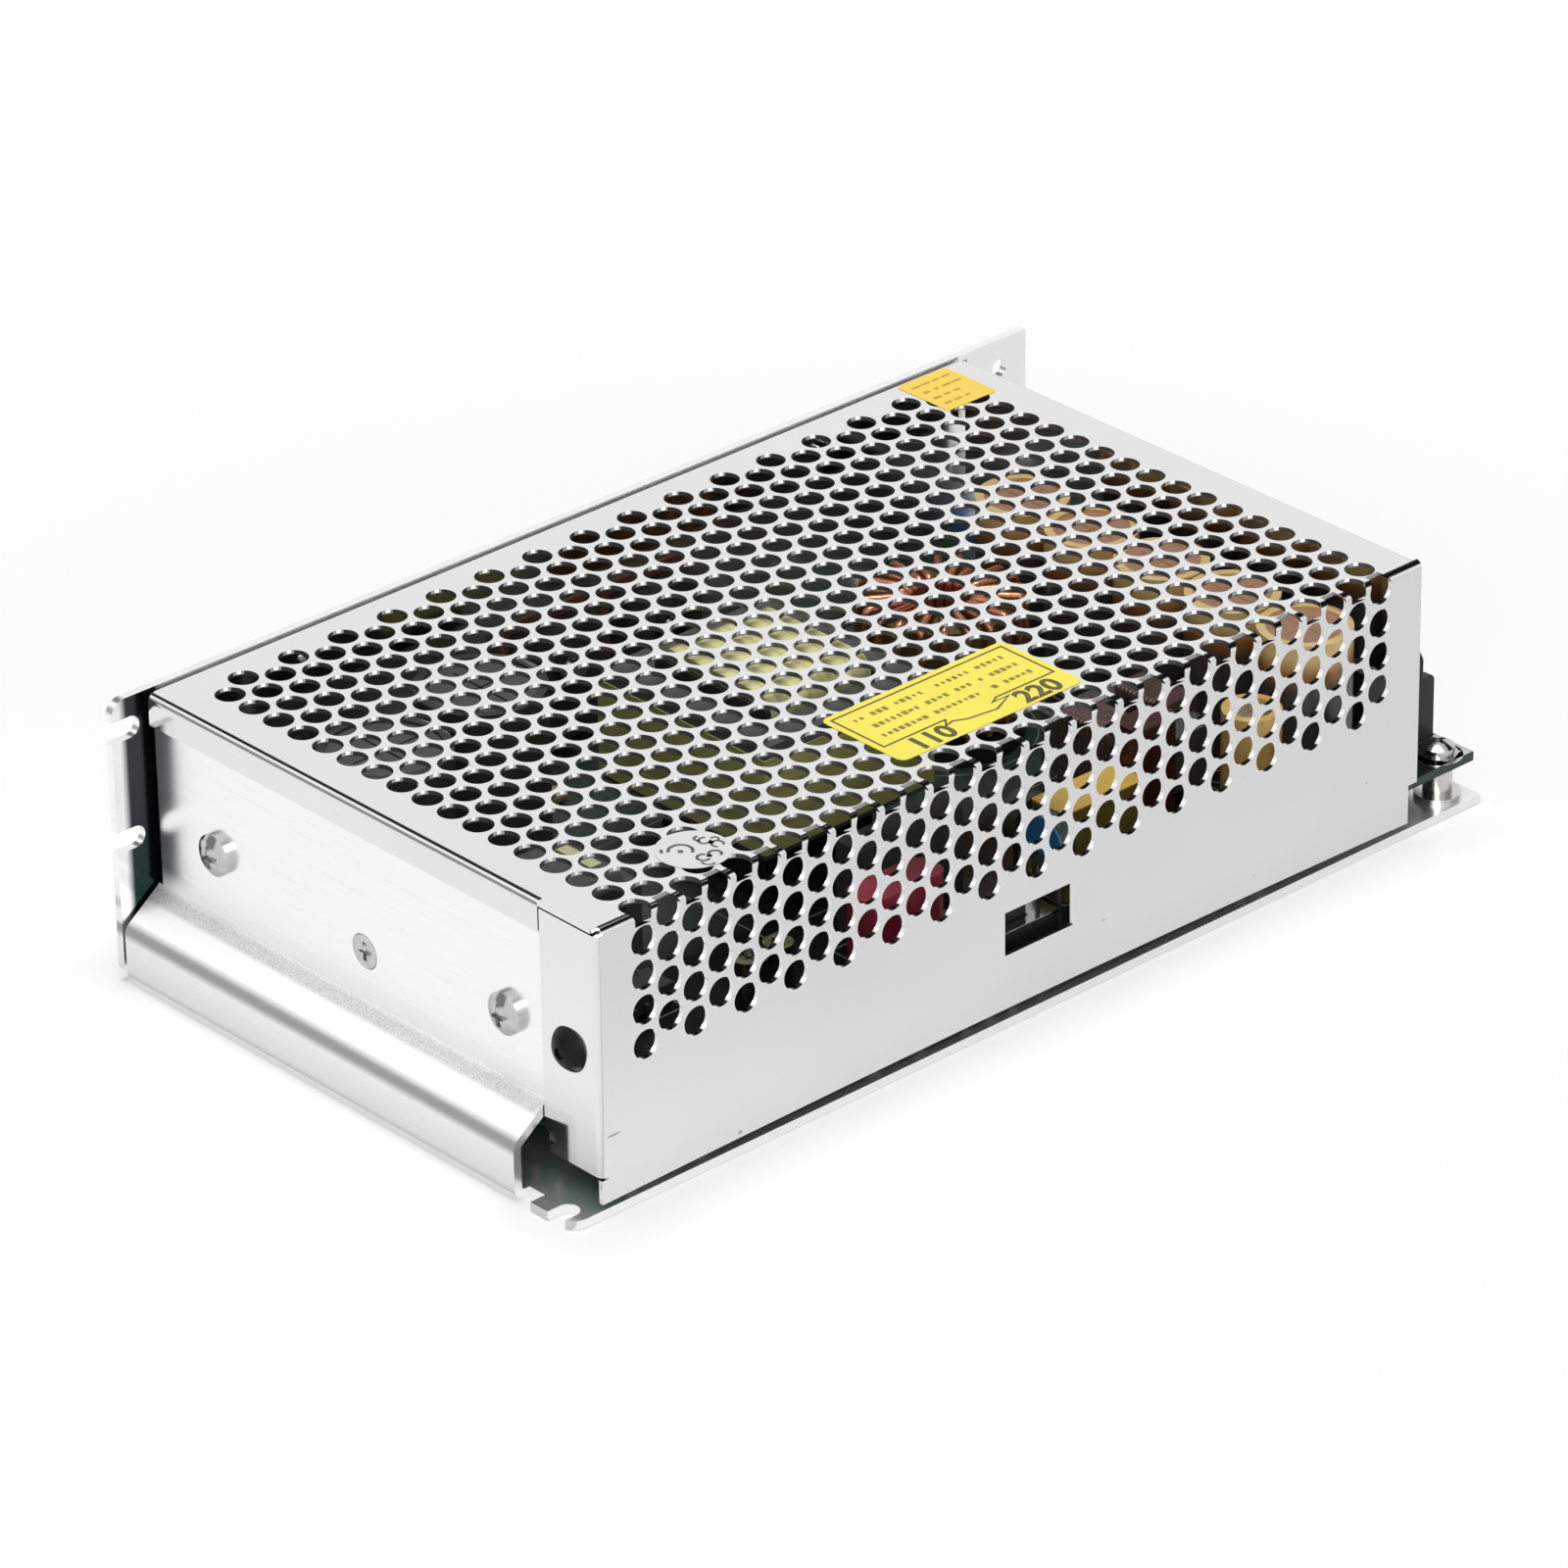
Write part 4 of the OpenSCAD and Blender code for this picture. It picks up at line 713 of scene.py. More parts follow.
@dataclass(frozen=True)
class Sleeve(Finish):
    """Shrunk sleeve on a can, with the can's top, one pale stripe down the side and painted shade towards its foot.

    Attributes:
        top: Height of the can's top in millimetres.
        middle: X of a can's middle in millimetres.
        step: Distance between cans along X, in millimetres.
        reach: Distance from the middle at which the stripe starts.
        stripe: Colour of the stripe.
        cap: Colour of the can's top.
        bare: Whether the top is bare metal.
        dark_below: X in millimetres below which the sleeves are dark.
        fade: Depths below the top at which the painted shade on the sleeve starts and is full.
        low: Colour of the painted shade halfway down.
        foot: Colour of the painted shade at the sleeve's foot.
        dark: Colour of the dark sleeves.
        rim: Depths below the top between which the top gives way to the sleeve's rolled rim.
        level: Parts of the normal along Z between which the side turns into the top.
        soft: Half width of the stripe's soft edge.
    """

    top: float = 40.0
    middle: float = 0.0
    step: float = 100.0
    reach: float = 7.0
    stripe: Colour = (0.55, 0.55, 0.52)
    cap: Colour = (0.60, 0.60, 0.59)
    bare: float = 1.0
    dark_below: float = -200.0
    fade: Pair = (100.0, 101.0)
    low: Colour = (0.02, 0.02, 0.02)
    foot: Colour = (0.066, 0.062, 0.060)
    dark: Colour = (0.014, 0.015, 0.02)
    rim: Pair = (0.3, 0.2)
    level: Pair = (0.6, 0.8)
    soft: float = 0.05

    def dress(self, bench: Bench) -> None:
        """Lay sleeve, stripe and top.

        Args:
            bench: Bench of the finish's material.
        """
        below, above = (self.top - depth for depth in self.rim)
        lid = bench.product(bench.ramp(bench.facing("Z"), 0.0, 1.0, *self.level),
                            bench.fade("Z", 1.0, 0.0, below, above))
        dark = bench.short("X", self.dark_below)
        bright = bench.mix(self.stripe_mask(bench), self.pattern(bench), self.stripe)
        # Painted shade: the sleeve darkens below its top.
        first, last = (self.top - depth for depth in self.fade)
        half = (first + last) / 2
        middle = bench.mix(bench.fade("Z", 1.0, 0.0, half, first), bright, self.low)
        shaded = bench.mix(bench.fade("Z", 1.0, 0.0, last, half), middle, self.foot)
        shell = bench.product(bench.rest(dark), self.metallic)
        bench.apply(Base_Color=bench.mix(lid, bench.mix(dark, shaded, self.dark), self.cap),
                    Metallic=bench.most(bench.product(lid, self.bare), shell), Coat_Weight=self.coat,
                    Roughness=self.sheen(bench))
        bench.relief(self.grain(bench), self.depth)

    def stripe_mask(self, bench: Bench) -> Socket:
        """Return 1 on the stripe of each can and 0 elsewhere.

        Args:
            bench: Bench of the finish's material.

        Returns:
            The mask.
        """
        start = bench.calc("ADD", bench.axis("X"), (self.step / 2 - self.middle) * MM)
        turn = bench.calc("FLOORED_MODULO", start, self.step * MM)
        local = bench.calc("SUBTRACT", turn, self.step / 2 * MM)
        return bench.ramp(local, 0.0, 1.0, (self.reach - self.soft) * MM, (self.reach + self.soft) * MM)


@dataclass(frozen=True)
class Shaded(Finish):
    """A coloured body that is dark outside a given space.

    Attributes:
        lower: Lowest X, Y and Z of the coloured space, in millimetres.
        upper: Highest X, Y and Z of the coloured space.
        other: Colour outside.
    """

    lower: Triple = (-200.0, -200.0, -200.0)
    upper: Triple = (200.0, 200.0, 200.0)
    other: Colour = (0.07, 0.07, 0.07)

    def pattern(self, bench: Bench) -> Socket:
        """Return the colour inside the space and the dark colour outside.

        Args:
            bench: Bench of the finish's material.

        Returns:
            The colour.
        """
        inside = bench.product(*(bench.between(bench.axis(name), low * MM, high * MM)
                                 for name, low, high in zip("XYZ", self.lower, self.upper)))
        return bench.mix(inside, self.other, super().pattern(bench))


@dataclass(frozen=True)
class Clear(Finish):
    """Clear or tinted body that light passes through.

    Attributes:
        ior: Refractive index.
    """

    ior: float = 1.47

    def dress(self, bench: Bench) -> None:
        """Lay the clear body."""
        bench.apply(Base_Color=self.pattern(bench), Transmission_Weight=1.0, IOR=self.ior,
                    Roughness=self.sheen(bench, 1.0))


class Finishes:
    """All finishes of the power supply, named for what they cover."""

    COVER = PlatedSheet("cover_bright_plate", (0.80, 0.80, 0.805), (0.775, 0.775, 0.78), (0.075, 0.12), 1.0,
                        34.0, 700.0, 1.0e-6, Lay.ALONG_X)
    CHASSIS = RolledSheet("chassis_rolled_sheet", (0.97, 0.97, 0.97), (0.945, 0.945, 0.945), (0.20, 0.27), 0.94,
                          40.0, 5200.0, 2.5e-6, Lay.ALONG_Y)
    SCREW = Finish("screw_plating", (0.60, 0.60, 0.59), (0.48, 0.48, 0.47), (0.08, 0.16), 1.0, 700.0, 3000.0,
                   3e-6)
    POST = Finish("post_plating", (0.72, 0.72, 0.70), (0.62, 0.61, 0.58), (0.16, 0.28), 1.0, 400.0)
    CONTACT = Finish("contact_tin", (0.76, 0.75, 0.71), (0.64, 0.62, 0.57), (0.20, 0.34), 1.0, 500.0)
    SOLDER = Finish("solder_tin", (0.70, 0.70, 0.69), (0.55, 0.55, 0.54), (0.18, 0.34), 1.0, 900.0, 2600.0, 1e-5)
    BLACK = Finish("black_moulding", (0.016, 0.016, 0.017), (0.026, 0.026, 0.028), (0.34, 0.48), 0.0, 120.0,
                   3200.0, 6e-6, shine=0.3)
    RIVET = Finish("rivet_nylon", (0.005, 0.005, 0.006), (0.008, 0.008, 0.009), (0.34, 0.42), 0.0, 200.0, 2600.0,
                   5e-6, shine=0.16)
    PACKAGE = Finish("package_epoxy", (0.050, 0.050, 0.051), (0.064, 0.064, 0.066), (0.42, 0.60), 0.0, 260.0,
                     5200.0, 6e-6, shine=0.2)
    BOARD = Resist("board_resist", (0.018, 0.040, 0.030), (0.024, 0.055, 0.040), (0.20, 0.30), 0.0, 80.0, 1800.0,
                   4e-6, Lay.EVEN, 0.05, shine=0.3)
    SILK = Finish("board_marking", (0.22, 0.25, 0.22), (0.17, 0.20, 0.17), (0.5, 0.65), 0.0, 600.0)
    FERRITE = Finish("ferrite_body", (0.075, 0.075, 0.077), (0.095, 0.095, 0.098), (0.50, 0.70), 0.0, 500.0,
                     4200.0, 1.2e-5)
    POWDER = Finish("powder_core", (0.15, 0.11, 0.03), (0.12, 0.085, 0.025), (0.34, 0.5), 0.0, 300.0)
    TAPE = Wound("winding_tape", (0.70, 0.68, 0.29), (0.78, 0.76, 0.38), (0.16, 0.30), 0.0, 90.0, 1500.0, 2.5e-5,
                 Lay.EVEN, 0.3, "X", 3.1)
    # Painted shade: the belt is the winding's yellow tape, painted darker and more olive.
    BELT = Wound("core_belt_tape", (0.54, 0.54, 0.19), (0.60, 0.60, 0.24), (0.18, 0.30), 0.0, 90.0, 1500.0,
                 1.5e-5, Lay.EVEN, 0.2, "Z", 6.0)
    # Painted shade: the driver's tape keeps its yellow only inside a box and is dark elsewhere.
    DRIVER_TAPE = Shaded("driver_tape", (0.70, 0.72, 0.34), (0.76, 0.76, 0.40), (0.2, 0.34), 0.0, 90.0, 1500.0,
                         4e-6, lower=(-57.0, -11.5, 9.0), upper=(-45.0, -3.2, 40.0))
    WIRE = Finish("enamelled_wire", (0.62, 0.24, 0.13), (0.76, 0.35, 0.21), (0.14, 0.24), 0.75, 260.0, 1800.0,
                  8e-7)
    COIL = Wound("choke_wire", (0.20, 0.13, 0.12), (0.27, 0.18, 0.17), (0.20, 0.34), 0.5, 200.0, 1500.0, 1.6e-4,
                 Lay.EVEN, 0.0, "Y", 0.9)
    # Painted shade: the output cans' sleeves darken below their tops.
    OUT_SLEEVE = Sleeve("output_sleeve", (0.96, 0.68, 0.27), (0.98, 0.76, 0.36), (0.30, 0.40), 0.0, 160.0, 1500.0,
                        6e-7, Lay.EVEN, 0.1, 40.0, 69.0, 100.0, 7.3, (0.62, 0.42, 0.24), (0.50, 0.30, 0.21), 0.0,
                        fade=(2.5, 8.5), low=(0.40, 0.16, 0.03))
    BULK_SLEEVE = Sleeve("bulk_sleeve", (0.042, 0.042, 0.043), (0.052, 0.052, 0.053), (0.40, 0.52), 0.0, 120.0,
                         1500.0, 6e-7, Lay.EVEN, 0.0, 41.0, -67.4, 25.0, 10.2, (0.20, 0.20, 0.21),
                         (0.105, 0.105, 0.106), 0.0)
    SMALL_SLEEVE = Sleeve("small_sleeve", (0.80, 0.52, 0.15), (0.86, 0.58, 0.19), (0.20, 0.32), 0.0, 200.0,
                          1500.0, 4e-6, Lay.EVEN, 0.3, 31.0, 0.0, 400.0, 190.0, dark_below=45.0)
    # Painted shade: below the top edge of its case the film capacitor is dark olive.
    FILM = Shaded("film_case", (0.84, 0.56, 0.10), (0.78, 0.51, 0.09), (0.26, 0.38), 0.0, 140.0,
                  lower=(-200.0, -200.0, 24.8), other=(0.22, 0.17, 0.035))
    DIPPED = Shaded("dipped_resin", (0.26, 0.020, 0.045), (0.34, 0.032, 0.060), (0.30, 0.42), 0.0, 160.0, 700.0,
                    3e-5, shine=0.3, upper=(0.0, 200.0, 200.0), other=(0.055, 0.012, 0.013))
    DISC_BLUE = Shaded("disc_resin", (0.03, 0.14, 0.36), (0.04, 0.18, 0.42), (0.22, 0.36), 0.0, 200.0, 900.0, 2e-5,
                       lower=(-200.0, -200.0, 23.0), upper=(6.6, 200.0, 200.0), other=(0.06, 0.065, 0.065))
    DISC_DARK = Finish("thermistor_resin", (0.020, 0.034, 0.020), (0.034, 0.052, 0.03), (0.35, 0.5), 0.0, 200.0,
                       900.0, 2e-5)
    PAD = Finish("pad_sheet", (0.24, 0.10, 0.07), (0.30, 0.13, 0.09), (0.55, 0.7), 0.0, 200.0)
    GLASS = Clear("fuse_glass_clear", (0.93, 0.96, 0.95), (0.90, 0.94, 0.93), (0.02, 0.05))
    LAMP = Clear("lamp_tinted", (0.18, 0.72, 0.26), (0.14, 0.62, 0.20), (0.08, 0.16))
    TRIM_BLUE = Finish("trimmer_case", (0.03, 0.10, 0.42), (0.045, 0.13, 0.50), (0.32, 0.45), 0.0, 300.0)
    TRIM_WHITE = Finish("trimmer_screw", (0.78, 0.78, 0.73), (0.70, 0.70, 0.64), (0.32, 0.45), 0.0, 500.0)
    RESISTOR = Wound("resistor_lacquer", (0.50, 0.36, 0.19), (0.58, 0.43, 0.25), (0.34, 0.46), 0.0, 200.0, 900.0,
                     1e-5, Lay.EVEN, 0.2, "X", 1.9)
    LABEL = Finish("label_paper", (0.98, 0.86, 0.11), (0.94, 0.81, 0.095), (0.40, 0.52), 0.0, 60.0, 2600.0, 2e-6)
    CORNER_LABEL = Finish("corner_label_paper", (0.98, 0.70, 0.10), (0.93, 0.65, 0.085), (0.40, 0.52), 0.0, 60.0,
                          2600.0, 2e-6)
    STICKER = Finish("sticker_paper", (0.76, 0.76, 0.75), (0.71, 0.71, 0.70), (0.4, 0.52), 0.0, 80.0, 2600.0, 2e-6)
    INK = Finish("print_ink", (0.075, 0.065, 0.012), (0.11, 0.095, 0.02), (0.4, 0.5), 0.0, 900.0)
    SOFT_INK = Finish("soft_print_ink", (0.22, 0.18, 0.03), (0.30, 0.25, 0.04), (0.4, 0.5), 0.0, 900.0)
    FAINT_INK = Finish("faint_print_ink", (0.52, 0.30, 0.02), (0.60, 0.38, 0.03), (0.4, 0.5), 0.0, 900.0)
    GREY_INK = Finish("grey_print_ink", (0.050, 0.050, 0.052), (0.10, 0.10, 0.10), (0.4, 0.5), 0.0, 900.0)


class Recipe(Nodes):
    """A geometry node tree with named inputs that is cast once into a plain mesh."""

    def __init__(self, name: str) -> None:
        """Start a tree with one geometry input and one geometry output.

        Args:
            name: Name of the tree.
        """
        super().__init__(bpy.data.node_groups.new(name, "GeometryNodeTree"))
        self.name = name
        for way in ("INPUT", "OUTPUT"):
            self.tree.interface.new_socket("Geometry", in_out=way, socket_type="NodeSocketGeometry")
        self.entry = self.add("NodeGroupInput")
        self.keys: dict[str, str] = {}

    def knob(self, name: str, kind: str = "Float") -> Socket:
        """Add a named input.

        Args:
            name: Name of the input.
            kind: Kind of socket, such as Float, Int, Vector or Material.

        Returns:
            The input's socket inside the tree.
        """
        item = self.tree.interface.new_socket(name, in_out="INPUT", socket_type=f"NodeSocket{kind}")
        self.keys[name] = item.identifier
        return self.entry.outputs[name]

    def chain(self, kind: str, geometry: Socket, feeds: Optional[Feeds] = None, **settings: object) -> Socket:
        """Add a node that takes the geometry so far as its first input.

        Args:
            kind: Type name of the node.
            geometry: Geometry so far.
            feeds: Sockets or plain values for its other inputs.
            **settings: Properties set on it.

        Returns:
            The node's first output.
        """
        return self.add(kind, {0: geometry, **(feeds or {})}, **settings).outputs[0]

    def rounded(self, curve: Socket, knob: str) -> Socket:
        """Give each corner of a curve a short run of points, with its radius as a named input."""
        feeds = {"Count": 5, "Radius": self.knob(knob)}
        return self.chain("GeometryNodeFilletCurve", curve, feeds, mode="POLY")

    def wire(self, curve: Socket, capped: bool) -> Socket:
        """Lay round wire along a curve, with its radius as a named input.

        Args:
            curve: Curve of the wire's middle.
            capped: Whether the wire's ends are closed.

        Returns:
            The wire's geometry.
        """
        feeds = {"Resolution": 8, "Radius": self.knob("Wire Radius")}
        section = self.add("GeometryNodeCurvePrimitiveCircle", feeds, mode="RADIUS").outputs[0]
        return self.chain("GeometryNodeCurveToMesh", curve, {"Profile Curve": section, "Fill Caps": capped})

    def placed(self, geometry: Socket) -> Socket:
        """Move the geometry to a centre that is a named input."""
        return self.chain("GeometryNodeTransform", geometry, {"Translation": self.knob("Centre", "Vector")})

    def close(self, geometry: Socket, smooth: bool = True) -> None:
        """End the tree in real geometry with its material.

        Args:
            geometry: Geometry so far.
            smooth: Whether faces are shaded smooth.
        """
        real = self.chain("GeometryNodeRealizeInstances", geometry)
        shade = self.chain("GeometryNodeSetShadeSmooth", real, {"Shade Smooth": smooth})
        paint = self.chain("GeometryNodeSetMaterial", shade, {"Material": self.knob("Material", "Material")})
        self.add("NodeGroupOutput", {0: paint})

    def cast(self, seed_mesh: bpy.types.Mesh, finish: Finish, **values: object) -> bpy.types.Mesh:
        """Run the tree on a mesh.

        Args:
            seed_mesh: Mesh that the tree starts from.
            finish: Finish of the result.
            **values: Values of the named inputs, with spaces as underscores.

        Returns:
            The result as a plain mesh.
        """
        carrier = bpy.data.objects.new(self.name, seed_mesh)
        bpy.context.scene.collection.objects.link(carrier)
        modifier = carrier.modifiers.new(self.name, "NODES")
        modifier.node_group = self.tree
        modifier[self.keys["Material"]] = finish.material()
        for key, value in values.items():
            modifier[self.keys[key.replace("_", " ")]] = value
        graph = bpy.context.evaluated_depsgraph_get()
        mesh = bpy.data.meshes.new_from_object(carrier.evaluated_get(graph))
        carrier.modifiers.remove(modifier)
        bpy.data.objects.remove(carrier)
        return mesh


class SolderRecipe(Recipe):
    """Soldered joints with their cut lead ends, hanging below the points of a mesh."""

    def __init__(self) -> None:
        """Build the tree."""
        super().__init__("solder_joints")
        lead_radius = self.knob("Lead Radius")
        cone = self.add("GeometryNodeMeshCone", {
            "Vertices": 12, "Side Segments": 2, "Radius Bottom": self.knob("Radius"), "Radius Top": lead_radius,
            "Depth": self.knob("Height")})
        lead = self.add("GeometryNodeMeshCylinder", {
            "Vertices": 8, "Radius": lead_radius, "Depth": self.knob("Lead Length")})
        both = self.add("GeometryNodeJoinGeometry")
        for part in (cone, lead):
            self.feed(both.inputs[0], part.outputs["Mesh"])
        turned = self.chain("GeometryNodeTransform", both.outputs[0], {"Rotation": (math.pi, 0.0, 0.0)})
        smallest, largest = 0.86, 1.14
        feeds = {2: smallest, 3: largest, "Seed": self.knob("Seed", "Int")}
        size = self.add("FunctionNodeRandomValue", feeds, data_type="FLOAT")
        self.close(self.chain("GeometryNodeInstanceOnPoints", self.entry.outputs["Geometry"],
                              {"Instance": turned, "Scale": size.outputs[1]}))


class TurnsRecipe(Recipe):
    """Turns of round wire about a ring, each turn a rounded loop."""

    def __init__(self) -> None:
        """Build the tree."""
        super().__init__("wire_turns")
        sides = {"Width": self.knob("Loop Width"), "Height": self.knob("Loop Height")}
        loop = self.add("GeometryNodeCurvePrimitiveQuadrilateral", sides, mode="RECTANGLE").outputs[0]
        upright = self.chain("GeometryNodeTransform", self.rounded(loop, "Corner Radius"),
                             {"Rotation": (math.pi / 2, 0.0, 0.0)})
        spread = {"Vertices": self.knob("Turns", "Int"), "Radius": self.knob("Ring Radius")}
        ring = self.add("GeometryNodeMeshCircle", spread, fill_type="NONE").outputs["Mesh"]
        place = self.add("GeometryNodeInputPosition").outputs[0]
        aim = self.add("FunctionNodeAlignRotationToVector", {"Vector": place}, axis="X").outputs[0]
        turns = self.chain("GeometryNodeInstanceOnPoints", ring, {"Instance": upright, "Rotation": aim})
        loops = self.chain("GeometryNodeRealizeInstances", turns)
        self.close(self.placed(self.wire(loops, capped=False)))


class LeadRecipe(Recipe):
    """Round leads that follow the edges of a mesh with rounded corners."""

    def __init__(self) -> None:
        """Build the tree."""
        super().__init__("wire_leads")
        line = self.chain("GeometryNodeMeshToCurve", self.entry.outputs["Geometry"])
        self.close(self.wire(self.rounded(line, "Bend Radius"), capped=True))


class BarsRecipe(Recipe):
    """Rows of short printed bars of uneven length on a flat face."""

    def __init__(self) -> None:
        """Build the tree."""
        super().__init__("print_bars")
        grid = self.add("GeometryNodeMeshGrid", {
            "Size X": self.knob("Span"), "Size Y": self.knob("Rise"), "Vertices X": self.knob("Columns", "Int"),
            "Vertices Y": self.knob("Rows", "Int")})
        bar = self.add("GeometryNodeMeshCube", {"Size": self.knob("Bar", "Vector")}).outputs["Mesh"]
        seed = self.knob("Seed", "Int")
        shortest, whole = (0.45, 0.55, 1.0), (1.0, 1.0, 1.0)
        feeds = {0: shortest, 1: whole, "Seed": seed}
        stretch = self.add("FunctionNodeRandomValue", feeds, data_type="FLOAT_VECTOR")
        keep = self.add("FunctionNodeRandomValue", {"Probability": 0.86, "Seed": seed}, data_type="BOOLEAN")
        rows = self.chain("GeometryNodeInstanceOnPoints", grid.outputs["Mesh"], {
            "Instance": bar, "Scale": stretch.outputs[0], "Selection": keep.outputs[3]})
        self.close(self.placed(rows), smooth=False)


class Workshop:
    """Makes meshes and pieces for the sub-assemblies, and keeps the shared recipes."""

    def __init__(self) -> None:
        """Build each recipe once."""
        self.solder = SolderRecipe()
        self.turns = TurnsRecipe()
        self.leads = LeadRecipe()
        self.bars = BarsRecipe()

    def mesh(self, name: str, verts: Iterable[Triple], edges: Iterable[Loop] = (),
             faces: Iterable[Loop] = ()) -> bpy.types.Mesh:
        """Make a mesh from points in millimetres.

        Args:
            name: Name of the mesh.
            verts: Points.
            edges: Pairs of point numbers.
            faces: Loops of point numbers.

        Returns:
            The mesh, in metres.
        """
        mesh = bpy.data.meshes.new(name)
        mesh.from_pydata([Vector(v) * MM for v in verts], edges, faces)
        mesh.update()
        return mesh

    def path(self, name: str, runs: Iterable[list[Triple]]) -> bpy.types.Mesh:
        """Make a mesh of open polylines in millimetres.

        Args:
            name: Name of the mesh.
            runs: Corners of each polyline.

        Returns:
            The mesh, in metres.
        """
        verts: list[Triple] = []
        edges: list[Loop] = []
        for run in runs:
            edges += [(len(verts) + i, len(verts) + i + 1) for i in range(len(run) - 1)]
            verts += run
        return self.mesh(name, verts, edges)

    def arc(self, x: float, y: float, radius: float, start: float, stop: float, steps: int = 20) -> list[Pair]:
        """Return points on an arc, angles in degrees."""
        turns = [math.radians(start + (stop - start) * i / steps) for i in range(steps + 1)]
        return [(x + radius * math.cos(t), y + radius * math.sin(t)) for t in turns]

    def circle(self, x: float, y: float, radius: float, count: int) -> list[Pair]:
        """Return points spread evenly over a full circle."""
        return self.arc(x, y, radius, 0, 360 - 360 / count, count - 1)

    def ribbon(self, line: list[Pair], width: float, low: float, high: float, closed: bool = False) -> MeshParts:
        """Make a flat band along a line in X and Y.

        Args:
            line: Corners of the line's middle.
            width: Width of the band.
            low: Height of its underside.
            high: Height of its top.
            closed: Whether the last corner joins the first.

        Returns:
            Points and faces.
        """
        sharpest = 0.35
        count = len(line)
        verts: list[Triple] = []
        for i, corner in enumerate(line):
            here = Vector(corner)
            before = here - Vector(line[i - 1]) if closed or i else None
            after = Vector(line[(i + 1) % count]) - here if closed or i < count - 1 else None
            first = (before or after).normalized()
            second = (after or before).normalized()
            side = Vector((-first.y - second.y, first.x + second.x)).normalized()
            reach = width / 2 / max(sharpest, side.dot(Vector((-first.y, first.x))))
            for sign, height in ((1, high), (-1, high), (-1, low), (1, low)):
                edge = here + side * reach * sign
                verts.append((edge.x, edge.y, height))
        faces: list[Loop] = []
        for i in range(count if closed else count - 1):
            a = 4 * i
            b = 4 * ((i + 1) % count)
            faces += [(a + k, a + (k + 1) % 4, b + (k + 1) % 4, b + k) for k in range(4)]
        if not closed:
            last = 4 * (count - 1)
            faces += [(3, 2, 1, 0), (last, last + 1, last + 2, last + 3)]
        return verts, faces

    def plate(self, outline: list[Pair], low: float, high: float) -> MeshParts:
        """Make a flat plate from its outline, given counter-clockwise.

        Args:
            outline: Corners of the plate.
            low: Height of its underside.
            high: Height of its top.

        Returns:
            Points and faces.
        """
        count = len(outline)
        verts = [(x, y, low) for x, y in outline] + [(x, y, high) for x, y in outline]
        faces: list[Loop] = [tuple(reversed(range(count))), tuple(range(count, 2 * count))]
        faces += [(i, (i + 1) % count, count + (i + 1) % count, count + i) for i in range(count)]
        return verts, faces

    def joined(self, name: str, parts: Iterable[MeshParts]) -> bpy.types.Mesh:
        """Join several sets of points and faces into one mesh.

        Args:
            name: Name of the mesh.
            parts: Points and faces of each set.

        Returns:
            The mesh, in metres.
        """
        verts: list[Triple] = []
        faces: list[Loop] = []
        for points, loops in parts:
            faces += [tuple(len(verts) + i for i in loop) for loop in loops]
            verts += points
        return self.mesh(name, verts, [], faces)

    def numerals(self, text: str, height: float, place: Triple, thickness: float) -> bpy.types.Mesh:
        """Make plain numerals lying face up.

        Args:
            text: Digits to draw.
            height: Height of the digits.
            place: Middle of the lower edge.
            thickness: Thickness of the digits.

        Returns:
            The digits as a mesh in place.
        """
        digit_share = 0.72
        weight_share = 0.05
        curve = bpy.data.curves.new("numerals", "FONT")
        curve.body = text
        curve.size = height * MM / digit_share
        curve.offset = weight_share * height * MM
        curve.extrude = thickness * MM / 2
        curve.align_x = "CENTER"
        curve.resolution_u = 4
        carrier = bpy.data.objects.new("numerals", curve)
        bpy.context.scene.collection.objects.link(carrier)
        graph = bpy.context.evaluated_depsgraph_get()
        mesh = bpy.data.meshes.new_from_object(carrier.evaluated_get(graph))
        bpy.data.objects.remove(carrier)
        mesh.transform(Matrix.Translation(Vector(place) * MM))
        return mesh

    def merged(self, name: str, meshes: Iterable[bpy.types.Mesh]) -> bpy.types.Mesh:
        """Join finished meshes, given in metres, into one.

        Args:
            name: Name of the mesh.
            meshes: Meshes to join.

        Returns:
            The mesh, in metres.
        """
        parts: list[MeshParts] = []
        for mesh in meshes:
            points = [tuple(v.co / MM) for v in mesh.vertices]
            parts.append((points, [tuple(p.vertices) for p in mesh.polygons]))
        return self.joined(name, parts)

    def piece(self, name: str, mesh: bpy.types.Mesh, finish: Finish,
              body: Body = Body.HOUSING) -> bpy.types.Object:
        """Turn a mesh into a finished piece.

        Args:
            name: Name of the piece.
            mesh: Mesh in metres, in place.
            finish: Finish of the piece.
            body: Body that it rides on.

        Returns:
            The piece.
        """
        thing = bpy.data.objects.new(name, mesh)
        bpy.context.scene.collection.objects.link(thing)
        mesh.materials.clear()
        mesh.materials.append(finish.material())
        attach(thing, body.value)
        LOG.info("piece %s: %d faces on %s", name, len(mesh.polygons), body.value)
        return thing


class Assembly:
    """A sub-assembly that builds its own pieces and dresses the solids it owns."""

    finishes: ClassVar[dict[str, Finish]] = {}

    def build(self, shop: Workshop) -> None:
        """Build the pieces that the solids lack."""

    def dress(self) -> None:
        """Give each solid its finish."""
        for name, finish in self.finishes.items():
            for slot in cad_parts[name].material_slots:
                slot.material = finish.material()
            LOG.info("solid %s: %s", name, finish.name)


